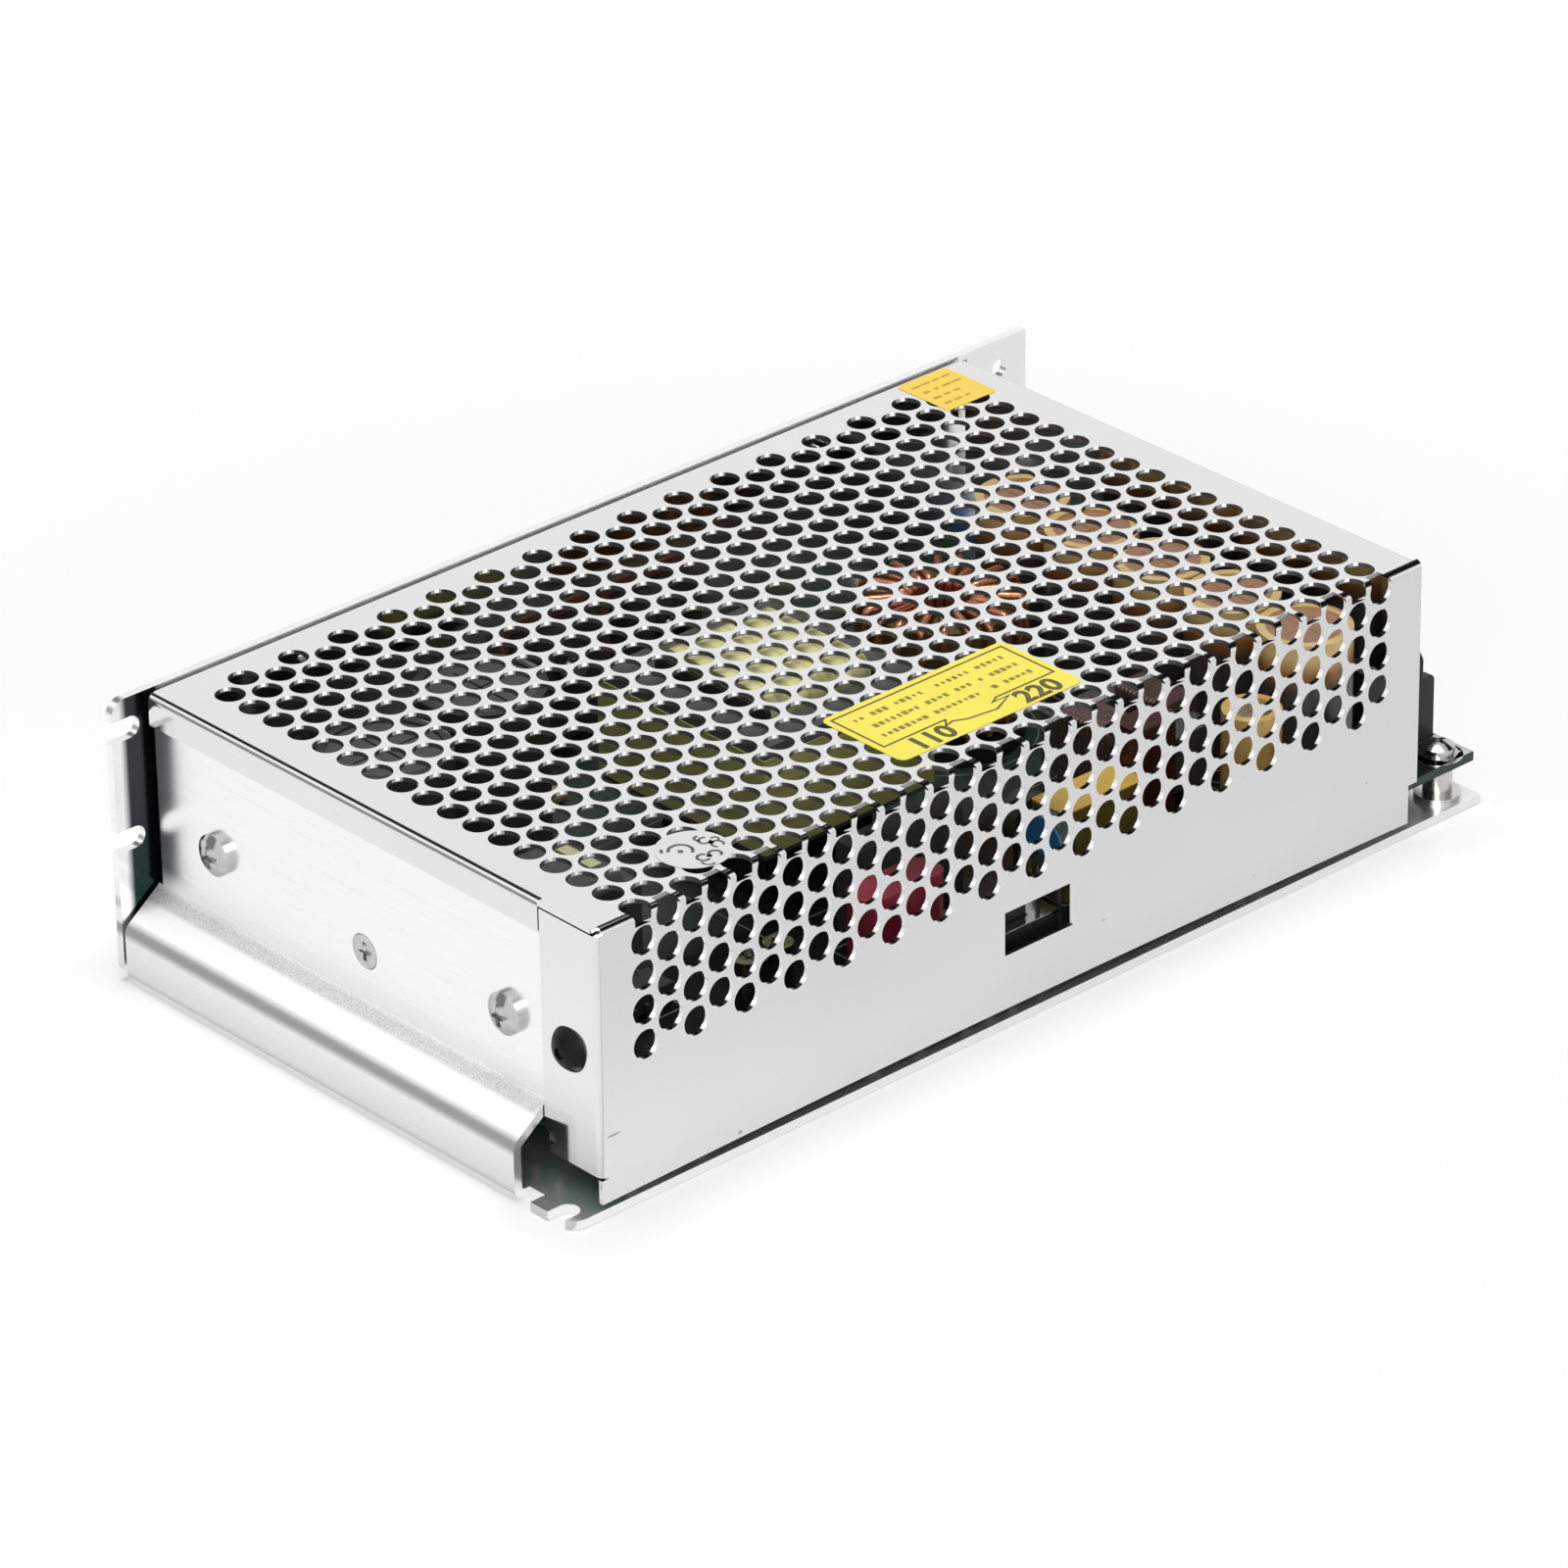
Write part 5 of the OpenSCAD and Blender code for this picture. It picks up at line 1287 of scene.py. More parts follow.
class Enclosure(Assembly):
    """Folded chassis, perforated cover and the fasteners that hold them."""

    finishes = {
        "chassis": Finishes.CHASSIS,
        "cover": Finishes.COVER,
        "cover_rivet": Finishes.RIVET,
        "cover_screws": Finishes.SCREW,
        "end_pan_screws": Finishes.SCREW,
        "end_flat_screw": Finishes.SCREW,
        "side_flat_screws": Finishes.SCREW,
        "power_nuts": Finishes.SCREW,
    }


@dataclass
class Labels(Assembly):
    """Two yellow labels and a round sticker, printed with plain marks.

    Attributes:
        film: Thickness of the print.
        corner: Lower left corner of the selector label.
        size: Length and width of the selector label.
        frame_inset: Distance of the printed frame from the label's edge.
        frame_foot: Distance of the frame's lower line from the label's lower edge.
        frame_gap: Distances from the frame's two ends to the gap in its lower line.
        arrow_tail: Corners of the arrow's tail, from the left end of the gap.
        arrow_head: Corners of the arrow's head, from the right end of the gap.
        line: Width of printed lines.
        digits: Height of the two numbers.
        digits_drop: Distance of the numbers' foot below the frame's lower line.
        digits_inset: Distances of the two numbers' middles from the frame's ends.
        rows_inset: Distance by which the rows of bars are shorter than the selector label.
        rows_rise: Height of the block of rows.
        rows_lift: Distance of the block's middle above the label's.
        rows_grid: Bars in a row, and rows.
        bar: Length and width of a bar.
        corner_share: Shares of the corner label's length and width that its block of rows takes up.
        corner_grid: Bars in a row on the corner label, and rows.
        corner_bar: Length and width of a bar there.
        arcs: Middle, radius, first and last angle and width of each arc on the sticker.
        dots: Middles of the dots on the sticker.
        dot: Radius of a dot.
    """

    film: float = 0.02
    corner: Pair = (-23.5, -47.3)
    size: Pair = (39.3, 19.0)
    frame_inset: float = 1.3
    frame_foot: float = 5.6
    frame_gap: Pair = (13.2, 12.6)
    arrow_tail: tuple[Pair, ...] = ((2.6, -2.2), (0.4, -1.1), (-1.4, -1.6), (0.0, 0.0))
    arrow_head: tuple[Pair, ...] = ((0.0, 0.0), (-1.6, -0.9), (1.9, -0.9), (-2.6, -3.0))
    line: float = 0.40
    digits: float = 4.1
    digits_drop: float = 4.8
    digits_inset: Pair = (7.6, 6.2)
    rows_inset: float = 8.0
    rows_rise: float = 6.6
    rows_lift: float = 2.2
    rows_grid: tuple[int, int] = (26, 3)
    bar: Pair = (1.02, 1.25)
    corner_share: Pair = (0.6, 0.62)
    corner_grid: tuple[int, int] = (4, 4)
    corner_bar: Pair = (2.1, 0.8)
    arcs: tuple[tuple[float, ...], ...] = (
        (-1.7, 1.0, 1.9, -62, 152, 0.55), (3.1, 0.9, 0.95, 40, 330, 0.45), (3.9, -1.2, 0.95, -60, 230, 0.45),
        (-0.6, -3.0, 1.0, 30, 300, 0.5), (1.5, -3.3, 1.0, -70, 200, 0.5), (-0.8, -4.4, 1.1, 150, 290, 0.4),
        (0.0, 0.0, 4.9, 138, 152, 0.5), (2.9, 2.0, 0.7, 60, 250, 0.45), (4.6, 0.2, 0.6, -80, 120, 0.4))
    dots: tuple[Pair, ...] = ((-1.9, 0.8), (3.5, -0.2), (0.4, -3.2))
    dot: float = 0.5
    finishes: ClassVar[dict[str, Finish]] = {
        "selector_label": Finishes.LABEL,
        "corner_label": Finishes.CORNER_LABEL,
        "round_sticker": Finishes.STICKER,
    }

    def build(self, shop: Workshop) -> None:
        """Print the labels.

        Args:
            shop: Workshop that makes the meshes.
        """
        shop.piece("selector_label_print", self.selector_print(shop), Finishes.INK)
        shop.piece("selector_label_rows", self.selector_rows(shop), Finishes.SOFT_INK)
        shop.piece("corner_label_print", self.corner_print(shop), Finishes.FAINT_INK)
        shop.piece("round_sticker_print", self.sticker_print(shop), Finishes.GREY_INK)

    def selector_print(self, shop: Workshop) -> bpy.types.Mesh:
        """Return the frame, the change-over arrow and two numbers.

        Args:
            shop: Workshop that makes the meshes.

        Returns:
            The print as a mesh.
        """
        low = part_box("selector_label")[1].z / MM
        high = low + self.film
        x0 = self.corner[0] + self.frame_inset
        x1 = self.corner[0] + self.size[0] - self.frame_inset
        y0 = self.corner[1] + self.frame_foot
        y1 = self.corner[1] + self.size[1] - self.frame_inset
        left = x0 + self.frame_gap[0]
        right = x1 - self.frame_gap[1]
        outline = [(left, y0), (x0, y0), (x0, y1), (x1, y1), (x1, y0)]
        outline += [(right + dx, y0 + dy) for dx, dy in self.arrow_head]
        outline += [(left + dx, y0 + dy) for dx, dy in self.arrow_tail]
        band = shop.joined("frame_print", [shop.ribbon(outline, self.line, low, high)])
        foot = y0 - self.digits_drop
        depth = (low + high) / 2
        first = shop.numerals("110", self.digits, (x0 + self.digits_inset[0], foot, depth), self.film)
        second = shop.numerals("220", self.digits, (x1 - self.digits_inset[1], foot, depth), self.film)
        return shop.merged("selector_label_print", [band, first, second])

    def selector_rows(self, shop: Workshop) -> bpy.types.Mesh:
        """Return three rows of small bars in the frame.

        Args:
            shop: Workshop that makes the meshes.

        Returns:
            The print as a mesh.
        """
        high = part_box("selector_label")[1].z
        x = (self.corner[0] + self.size[0] / 2) * MM
        y = (self.corner[1] + self.size[1] / 2 + self.rows_lift) * MM
        spread = ((self.size[0] - self.rows_inset) * MM, self.rows_rise * MM)
        return self.rows(shop, Finishes.SOFT_INK, 5, spread, self.rows_grid, self.bar, (x, y, high))

    def corner_print(self, shop: Workshop) -> bpy.types.Mesh:
        """Return rows of faint bars on the corner label.

        Args:
            shop: Workshop that makes the meshes.

        Returns:
            The print as a mesh.
        """
        low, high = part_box("corner_label")
        centre = (low + high) / 2
        size = high - low
        spread = (size.x * self.corner_share[0], size.y * self.corner_share[1])
        middle = (centre.x, centre.y, high.z)
        return self.rows(shop, Finishes.FAINT_INK, 11, spread, self.corner_grid, self.corner_bar, middle)

    def rows(self, shop: Workshop, finish: Finish, seed: int, spread: Pair, grid: tuple[int, int], bar: Pair,
             middle: Triple) -> bpy.types.Mesh:
        """Print rows of bars on a level face.

        Args:
            shop: Workshop that makes the meshes.
            finish: Finish of the print.
            seed: Seed of the bars' lengths.
            spread: Length and width of the block of rows, in metres.
            grid: Bars in a row, and rows.
            bar: Length and width of a bar.
            middle: Middle of the block on the face, in metres.

        Returns:
            The print as a mesh.
        """
        x, y, z = middle
        return shop.bars.cast(
            bpy.data.meshes.new("bars_seed"), finish, Span=spread[0], Rise=spread[1], Columns=grid[0], Rows=grid[1],
            Bar=(bar[0] * MM, bar[1] * MM, self.film * MM), Seed=seed, Centre=(x, y, z + self.film * MM / 2))

    def sticker_print(self, shop: Workshop) -> bpy.types.Mesh:
        """Return a few open arcs and dots on the round sticker.

        Args:
            shop: Workshop that makes the meshes.

        Returns:
            The print as a mesh.
        """
        low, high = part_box("round_sticker")
        x, y = ((low + high) / 2 / MM).xy
        z0 = high.z / MM
        z1 = z0 + self.film
        parts = [shop.ribbon(shop.arc(x + dx, y + dy, radius, start, stop), width, z0, z1)
                 for dx, dy, radius, start, stop, width in self.arcs]
        parts += [shop.plate(shop.circle(x + dx, y + dy, self.dot, 12), z0, z1) for dx, dy in self.dots]
        return shop.joined("round_sticker_print", parts)


@dataclass
class Board(Assembly):
    """Circuit board with its posts, solder joints, tinned pads and markings.

    Attributes:
        top: Height of the board's upper face.
        bottom: Height of its underside.
        posts: Middles of all posts, the one at the open near corner first.
        pad: Radius and width of the tinned ring round a post.
        corner: Lowest X and Y and highest X and Y of the tinned corner, from the middle of the first post.
        corner_line: Width of the tinned corner's line.
        cans: Middle and radius of each round part that is marked on the board.
        boxes: Lower left and upper right corner of each square part that is marked.
        joint: Radius and height of a solder joint.
        lead: Radius and length of a cut lead end.
        film: Thickness of the pads, and twice that of the markings.
        line: Width of the markings' lines.
    """

    top: float = 9.0
    bottom: float = 7.4
    posts: tuple[Pair, ...] = ((94.9, -50.0), (69.0, 46.5), (-80.9, -48.5), (-80.9, 46.5), (-24.0, 46.5))
    pad: Pair = (3.75, 0.9)
    corner: Quad = (-3.4, -2.7, 4.0, 4.4)
    corner_line: float = 1.3
    cans: tuple[Triple, ...] = (
        (69, -44, 8.6), (69, -27.5, 8.6), (69, -11, 8.6), (69, 5.5, 8.6), (69, 22, 8.6), (-67.4, 25.5, 11.6),
        (-42.4, 31.5, 11.6), (54.4, -46.5, 5.6), (-76.9, -38, 4.6), (-46, -36, 3.8), (-39.9, -36, 3.1),
        (31, 38, 4.6), (41.6, 13, 16.2))
    boxes: tuple[Quad, ...] = (
        (14.3, -44.6, 33.1, -35.4), (-33.2, -50.1, -15.0, -41.9), (33.2, -42.1, 44.1, -34.9),
        (-22.6, -36.6, 0.6, -29.4), (-72.6, -26.6, -51.4, -17.4), (81.8, -45.4, 99.0, 43.2),
        (37.0, 34.4, 59.0, 41.6), (90.6, 43.6, 99.4, 51.2), (-27.4, -19.0, 11.4, 22.0),
        (-71.0, -17.2, -49.0, 2.4), (37.4, -34.6, 59.8, -12.0))
    joint: Pair = (1.15, 0.9)
    lead: Pair = (0.36, 3.0)
    film: float = 0.03
    line: float = 0.22
    finishes: ClassVar[dict[str, Finish]] = {
        "circuit_board": Finishes.BOARD,
        "board_standoffs": Finishes.POST,
        "board_washers": Finishes.SCREW,
        "board_screws": Finishes.SCREW,
    }

    def joints(self) -> list[Pair]:
        """Return the place of each soldered lead, part by part.

        Returns:
            X and Y of each lead.
        """
        ends = (-1, 1)
        legs = (-1, 0, 1)
        # Terminals, output cans, bulk cans and small cans
        spots: list[Pair] = [(x, -39.3 + 9.5 * i) for i in range(9) for x in (86.5, 93.5)]
        spots += [(69 + s * 3.75, -44 + 16.5 * i) for i in range(5) for s in ends]
        spots += [(x + s * 5, y) for x, y in ((-67.4, 25.5), (-42.4, 31.5)) for s in ends]
        spots += [(x + s * 2, y) for x, y, _ in self.cans[7:12] for s in ends]
        # Film, dipped and disc capacitors, and the thermistor
        spots += [(16.4, -40), (31.4, -40), (-29.1, -46), (-19.1, -46), (36.0, -38.5), (41.0, -38.5)]
        spots += [(7.8, -50.0), (7.8, -45.0), (17.4, -30.0), (22.4, -30.0)]
        # Bridge, end rectifiers, regulator and side transistors
        spots += [(-11 + (i - 1.5) * 5.08, -33) for i in range(4)]
        spots += [(-88.3, y + k * 5.45) for y in (-33, 37) for k in legs]
        spots += [(-88.3, 1.5 + k * 2.54) for k in legs]
        spots += [(x + k * 5.45, 50.6) for x in (-10, 12) for k in legs]
        # Transformer, driver, inductor and choke
        spots += [(-8 + s * 11.3, -7.25 + 3.5 * i) for i in range(6) for s in ends]
        spots += [(-60 + s * 4, -13 + 5 * i) for i in range(3) for s in ends]
        spots += [(41.6 + s * 11, 13 + k * 3) for s in ends for k in ends]
        spots += [(48.6 + s * 6.5, -24 + k * 6) for s in ends for k in ends]
        # Fuse clips, control chip and resistors
        spots += [(40.4, 38), (55.6, 38)]
        spots += [(-62 + (i - 3.5) * 2.54, y) for i in range(8) for y in (-25.7, -17.9)]
        middles = ((-58, -44), (-58, -40), (-70.9, -46), (6, 32), (6, 36), (-24.4, 38))
        spots += [(x + s * 5.25, y) for x, y in middles for s in ends]
        # Selector, trimmer and lamp
        spots += [(-4.6 + 5 * i, -48.25 + s * 1.6) for i in legs for s in ends]
        spots += [(92.6, 47.5), (97.6, 47.5), (95.1, 49.5), (87.1, 46.2), (87.1, 48.8)]
        return spots

    def build(self, shop: Workshop) -> None:
        """Build solder joints, pads and markings.

        Args:
            shop: Workshop that makes the meshes.
        """
        seeds = shop.mesh("solder_seed", [(x, y, self.bottom) for x, y in self.joints()])
        solder = shop.solder.cast(seeds, Finishes.SOLDER, Radius=self.joint[0] * MM, Height=self.joint[1] * MM,
                                  Lead_Radius=self.lead[0] * MM, Lead_Length=self.lead[1] * MM, Seed=3)
        shop.piece("board_solder", solder, Finishes.SOLDER)
        shop.piece("board_pads", self.pads(shop), Finishes.SOLDER)
        shop.piece("board_markings", self.markings(shop), Finishes.SILK)

    def pads(self, shop: Workshop) -> bpy.types.Mesh:
        """Return the tinned rings round the posts and the tinned corner.

        Args:
            shop: Workshop that makes the meshes.

        Returns:
            The pads as a mesh.
        """
        low, high = self.top, self.top + self.film
        radius, width = self.pad
        parts = [shop.ribbon(shop.circle(x, y, radius, 24), width, low, high, True) for x, y in self.posts]
        x, y = self.posts[0]
        x0, y0, x1, y1 = self.corner
        parts.append(shop.ribbon(self.square(x + x0, y + y0, x + x1, y + y1), self.corner_line, low, high, True))
        return shop.joined("board_pads", parts)

    def markings(self, shop: Workshop) -> bpy.types.Mesh:
        """Return the outlines of the parts as printed on the board.

        Args:
            shop: Workshop that makes the meshes.

        Returns:
            The markings as a mesh.
        """
        outlines = [shop.circle(x, y, radius, 36) for x, y, radius in self.cans]
        outlines += [self.square(*box) for box in self.boxes]
        low, high = self.top, self.top + self.film / 2
        return shop.joined("board_markings", [shop.ribbon(o, self.line, low, high, True) for o in outlines])

    @staticmethod
    def square(x0: float, y0: float, x1: float, y1: float) -> list[Pair]:
        """Return the four corners between two corners, counter-clockwise."""
        return [(x0, y0), (x1, y0), (x1, y1), (x0, y1)]


class Terminals(Assembly):
    """Barrier terminal block, selector switch, trimmer and lamp."""

    finishes = {
        "terminal_block": Finishes.BLACK,
        "terminal_contacts": Finishes.CONTACT,
        "terminal_clamps": Finishes.SCREW,
        "terminal_screws": Finishes.SCREW,
        "selector_body": Finishes.BLACK,
        "selector_frame": Finishes.SCREW,
        "selector_slider": Finishes.BLACK,
        "trimmer_body": Finishes.TRIM_BLUE,
        "trimmer_rotor": Finishes.TRIM_WHITE,
        "indicator_lamp": Finishes.LAMP,
    }


@dataclass
class Magnetics(Assembly):
    """Transformers, output inductor and mains choke.

    Attributes:
        ring: Middle of the output inductor in X, Y and Z.
        ring_radius: Middle radius of its core.
        loop: Width and height of one turn.
        loop_corner: Corner radius of one turn.
        turns: Number of turns.
        wire: Radius of the wire.
        tail_half: Half distance between two tails on one side.
        tail_bend: Bend radius of a tail.
        board_top: Height of the board's upper face.
    """

    ring: Triple = (41.6, 13.0, 24.25)
    ring_radius: float = 9.75
    loop: Pair = (8.5, 20.6)
    loop_corner: float = 1.2
    turns: int = 22
    wire: float = 0.74
    tail_half: float = 1.6
    tail_bend: float = 0.8
    board_top: float = 9.0
    finishes: ClassVar[dict[str, Finish]] = {
        "transformer_core": Finishes.FERRITE,
        "transformer_winding": Finishes.TAPE,
        "transformer_bobbin": Finishes.BLACK,
        "transformer_belt": Finishes.BELT,
        "driver_core": Finishes.FERRITE,
        "driver_winding": Finishes.DRIVER_TAPE,
        "inductor_core": Finishes.POWDER,
        "inductor_base": Finishes.BLACK,
        "choke_core": Finishes.FERRITE,
        "choke_winding": Finishes.COIL,
    }

    def build(self, shop: Workshop) -> None:
        """Wind the inductor and lead it down to the board.

        Args:
            shop: Workshop that makes the meshes.
        """
        coil = shop.turns.cast(
            bpy.data.meshes.new("turns_seed"), Finishes.WIRE, Loop_Width=self.loop[0] * MM,
            Loop_Height=self.loop[1] * MM, Corner_Radius=self.loop_corner * MM, Turns=self.turns,
            Ring_Radius=self.ring_radius * MM, Wire_Radius=self.wire * MM, Centre=tuple(v * MM for v in self.ring))
        strands = shop.piece("inductor_strands", coil, Finishes.WIRE)
        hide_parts("inductor_winding")
        x, y, z = self.ring
        reach = self.ring_radius + self.loop[0] / 2 + 2 * self.wire
        runs = [[(x + s * reach, y + k * self.tail_half, height) for height in (z, self.board_top)]
                for s in (-1, 1) for k in (-1, 1)]
        tails = shop.leads.cast(shop.path("tails_seed", runs), Finishes.WIRE, Bend_Radius=self.tail_bend * MM,
                                Wire_Radius=self.wire * MM)
        shop.piece("inductor_tails", tails, Finishes.WIRE)


class Components(Assembly):
    """Capacitors, power devices and small parts on the board."""

    finishes = {
        "bulk_capacitors": Finishes.BULK_SLEEVE,
        "output_capacitors": Finishes.OUT_SLEEVE,
        "small_capacitors": Finishes.SMALL_SLEEVE,
        "film_capacitor": Finishes.FILM,
        "dipped_capacitors": Finishes.DIPPED,
        "disc_capacitor": Finishes.DISC_BLUE,
        "bridge_rectifier": Finishes.PACKAGE,
        "end_rectifiers": Finishes.PACKAGE,
        "end_regulator": Finishes.PACKAGE,
        "side_transistors": Finishes.PACKAGE,
        "insulating_pads": Finishes.PAD,
        "fuse_tube": Finishes.GLASS,
        "fuse_caps": Finishes.SCREW,
        "fuse_clips": Finishes.CONTACT,
        "thermistor": Finishes.DISC_DARK,
        "control_chip": Finishes.PACKAGE,
        "resistors": Finishes.RESISTOR,
    }


@dataclass
class Studio:
    """Pale floor, soft studio light and the camera.

    A fade names an axis, the levels at its two limits and the limits themselves. In the surroundings the axes are
    those of the direction that metal looks in, and on the floor they are places in metres.

    Attributes:
        camera_place: Place of the camera in millimetres.
        right: Camera's right.
        up: Camera's up.
        forward: Camera's view direction.
        lens: Focal length on a 36 mm sensor.
        bright: Fades of the low walls, of the overhead softbox and of the tall wall on the left.
        room: Fades of a dark room on the right in front, between the walls and the softbox.
        room_share: How dark the room is.
        opening: Fades of a dark opening at the foot of the tall wall.
        screen: Direction of a dark screen in front, above the camera.
        screen_fade: Levels of the screen, and the nearness to its direction between which it begins.
        ambient: Even light on matt surfaces.
        floor_white: Colour of the floor.
        floor_half: Half the side of the floor, in metres.
        floor_depth: Height of the floor, just below the object, in metres.
        floor_glow: Share of the floor's white that does not depend on the lamps.
        floor_mirror: The same share as metal sees it.
        floor_side: Painted shade: levels of the floor that metal sees on the right and on the left, and the limits
            of Y less X.
        floor_end: Fades of the painted contact shadow on the floor that metal sees close to the left end.
        floor_end_x: X up to which those fades hold.
        floor_back: Fade of the painted shadow on the floor that metal sees behind the object.
        floor_back_x: X from which that dimming holds.
        reach: Distances from the middle between which the floor stops showing the object's shadow, in metres.
        aim: Point that the lamps look at, in metres.
        lamps: Name, place, side in metres and power in watts of each softbox.
    """

    camera_place: Triple = (-825.919, -908.120, 674.542)
    right: Triple = (0.73720, -0.67554, -0.01338)
    up: Triple = (0.32685, 0.33921, 0.88210)
    forward: Triple = (0.59136, 0.65466, -0.47086)
    lens: float = 197.34
    bright: tuple[Fade, ...] = (
        ("Z", 0.98, 0.02, 0.57, 0.62), ("Z", 0.0, 0.8, 0.80, 0.84), ("X", 1.06, 0.0, -0.19, -0.12))
    room: tuple[Fade, ...] = (
        ("Y", 1.0, 0.0, -0.06, 0.02), ("X", 0.0, 1.0, 0.20, 0.34), ("Z", 0.0, 1.0, 0.40, 0.48),
        ("Z", 1.0, 0.0, 0.80, 0.84))
    room_share: float = 0.86
    opening: tuple[Fade, ...] = (
        ("X", 0.7, 0.0, -0.55, -0.42), ("Y", 0.0, 1.0, 0.28, 0.40), ("Z", 1.0, 0.0, 0.42, 0.56))
    screen: Triple = (-0.305, -0.336, 0.891)
    screen_fade: Quad = (0.0, 0.92, 0.965, 0.98)
    ambient: float = 0.10
    floor_white: Colour = (0.995, 0.995, 0.995)
    floor_half: float = 12.0
    floor_depth: float = -2e-4
    floor_glow: float = 0.36
    floor_mirror: float = 0.75
    floor_side: Quad = (0.78, 1.0, -0.07, 0.07)
    floor_end: tuple[Fade, ...] = (("X", 1.0, 0.70, -0.118, -0.105), ("X", 1.0, 0.62, -0.104, -0.100))
    floor_end_x: float = -0.0995
    floor_back: Fade = ("Y", 0.0, 0.24, 0.056, 0.10)
    floor_back_x: float = -0.095
    reach: Pair = (0.15, 0.24)
    aim: Triple = (0.0, 0.0, 0.02)
    lamps: tuple[tuple[str, Triple, float, float], ...] = (
        ("top_softbox", (0.0, 0.0, 2.0), 1.1, 34.0), ("front_softbox", (-0.9, -1.0, 0.9), 0.7, 4.0))

    def build(self) -> None:
        """Set up the studio."""
        self.camera()
        self.world()
        self.floor()
        for lamp in self.lamps:
            self.lamp(*lamp)
        bpy.context.scene.view_settings.view_transform = "Standard"

    def camera(self) -> None:
        """Place the camera where the object was viewed from."""
        data = bpy.data.cameras.new("camera")
        data.sensor_fit = "HORIZONTAL"
        data.sensor_width = 36.0
        data.lens = self.lens
        data.clip_end = 100.0
        rows = Matrix((self.right, self.up, tuple(-v for v in self.forward))).transposed()
        view = bpy.data.objects.new("camera", data)
        view.matrix_world = Matrix.Translation(Vector(self.camera_place) * MM) @ rows.to_4x4()
        bpy.context.scene.collection.objects.link(view)
        bpy.context.scene.camera = view

    def world(self) -> None:
        """Make the surroundings: white to the camera, walls and softboxes to metal, even to matt surfaces."""
        world = bpy.data.worlds.new("studio")
        bpy.context.scene.world = world
        world.use_nodes = True
        world.node_tree.nodes.clear()
        nodes = Nodes(world.node_tree)
        ways = nodes.add("ShaderNodeLightPath").outputs
        levels = (self.surroundings(nodes), (self.ambient,) * 3, (1.0, 1.0, 1.0))
        shine, even, white = (nodes.add("ShaderNodeBackground", {"Color": c}).outputs[0] for c in levels)
        clear = nodes.most(ways["Is Glossy Ray"], ways["Is Transmission Ray"])
        seen = nodes.blend(ways["Is Camera Ray"], nodes.blend(clear, even, shine), white)
        nodes.add("ShaderNodeOutputWorld", {0: seen})

    def surroundings(self, nodes: Nodes) -> Socket:
        """Return the level that metal sees in each direction.

        Args:
            nodes: Builder of the world's tree.

        Returns:
            Level from 0 to about 1: the bright parts, less the dark room, opening and screen.
        """
        way = nodes.add("ShaderNodeTexCoord").outputs["Generated"]
        parts = nodes.split(way)
        room = nodes.product(*nodes.fades(parts, self.room), self.room_share)
        opening = nodes.product(*nodes.fades(parts, self.opening))
        spot = nodes.add("ShaderNodeVectorMath", {0: way, 1: self.screen}, operation="DOT_PRODUCT")
        dark = nodes.most(room, opening, nodes.ramp(spot.outputs["Value"], *self.screen_fade))
        return nodes.product(nodes.most(*nodes.fades(parts, self.bright)), nodes.rest(dark))

    def floor(self) -> None:
        """Lay a pale floor that shows white and keeps the object's shadow."""
        half = self.floor_half
        mesh = bpy.data.meshes.new("floor")
        corners = [(x * half, y * half, self.floor_depth) for x, y in ((-1, -1), (1, -1), (1, 1), (-1, 1))]
        mesh.from_pydata(corners, [], [(0, 1, 2, 3)])
        mesh.materials.append(self.floor_paint())
        ground = bpy.data.objects.new("floor", mesh)
        bpy.context.scene.collection.objects.link(ground)

    def floor_paint(self) -> bpy.types.Material:
        """Return the floor's material: matt near the object and even white farther off; in mirrors a glow with
        painted shade and shadows.

        Returns:
            The material.
        """
        material = bpy.data.materials.new("pale_floor")
        material.use_nodes = True
        material.node_tree.nodes.clear()
        nodes = Nodes(material.node_tree)
        ways = nodes.add("ShaderNodeLightPath").outputs
        glossy = ways["Is Glossy Ray"]
        place = nodes.add("ShaderNodeTexCoord").outputs["Object"]
        parts = nodes.split(place)
        # Painted shade and shadows in the glow of the floor that metal mirrors.
        side = nodes.ramp(nodes.calc("SUBTRACT", parts["Y"], parts["X"]), *self.floor_side)
        back = nodes.product(nodes.over(parts["X"], self.floor_back_x), *nodes.fades(parts, (self.floor_back,)))
        foot = nodes.product(*nodes.fades(parts, self.floor_end))
        close = nodes.where(nodes.under(parts["X"], self.floor_end_x), foot)
        dim = nodes.where(glossy, nodes.product(side, nodes.rest(back), close))
        away = nodes.add("ShaderNodeVectorMath", {0: place}, operation="LENGTH").outputs["Value"]
        share = nodes.most(nodes.ramp(away, self.floor_glow, 1.0, *self.reach),
                           nodes.product(glossy, self.floor_mirror))
        clear = nodes.most(ways["Is Camera Ray"], glossy, ways["Is Transmission Ray"])
        matt = nodes.add("ShaderNodeBsdfDiffuse", {"Color": self.floor_white}).outputs[0]
        glow = nodes.add("ShaderNodeEmission", {"Strength": dim}).outputs[0]
        nodes.add("ShaderNodeOutputMaterial", {0: nodes.blend(nodes.product(clear, share), matt, glow)})
        return material

    def lamp(self, name: str, place: Triple, size: float, power: float) -> None:
        """Hang a square softbox that points at the object.

        Args:
            name: Name of the lamp.
            place: Place in metres.
            size: Side of the square in metres.
            power: Power in watts.
        """
        data = bpy.data.lights.new(name, "AREA")
        data.size = size
        data.energy = power
        lamp = bpy.data.objects.new(name, data)
        aim = Vector(self.aim) - Vector(place)
        lamp.matrix_world = Matrix.Translation(place) @ aim.to_track_quat("-Z", "Y").to_matrix().to_4x4()
        bpy.context.scene.collection.objects.link(lamp)


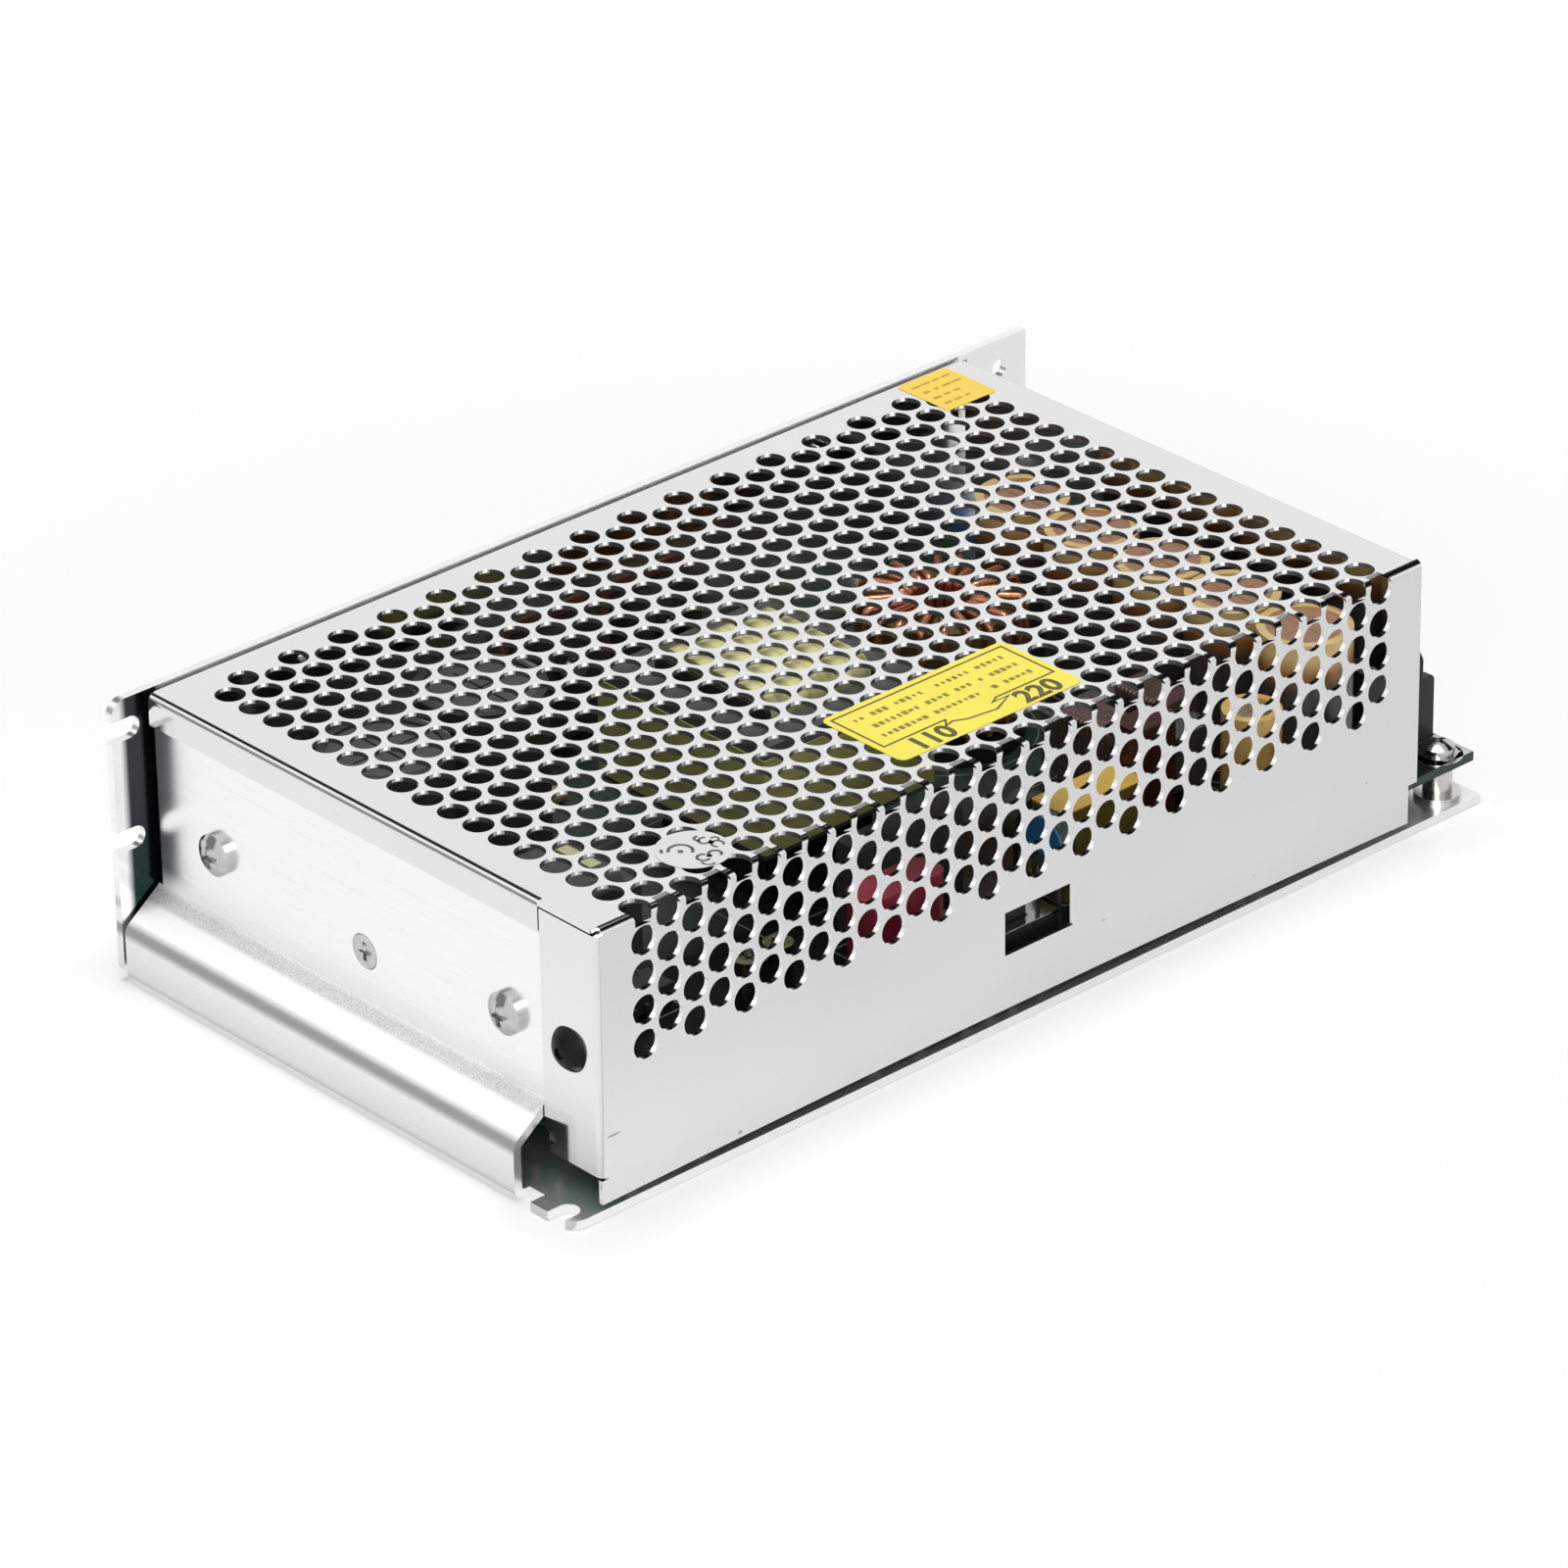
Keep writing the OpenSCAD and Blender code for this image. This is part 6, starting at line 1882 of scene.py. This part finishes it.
def main() -> None:
    """Build and dress every sub-assembly, then the studio."""
    logging.basicConfig(level=logging.INFO, format="%(name)s: %(message)s")
    shop = Workshop()
    for assembly in (Enclosure(), Labels(), Board(), Terminals(), Magnetics(), Components()):
        LOG.info("sub-assembly %s", type(assembly).__name__)
        assembly.dress()
        assembly.build(shop)
    Studio().build()


if __name__ == "__main__":
    main()
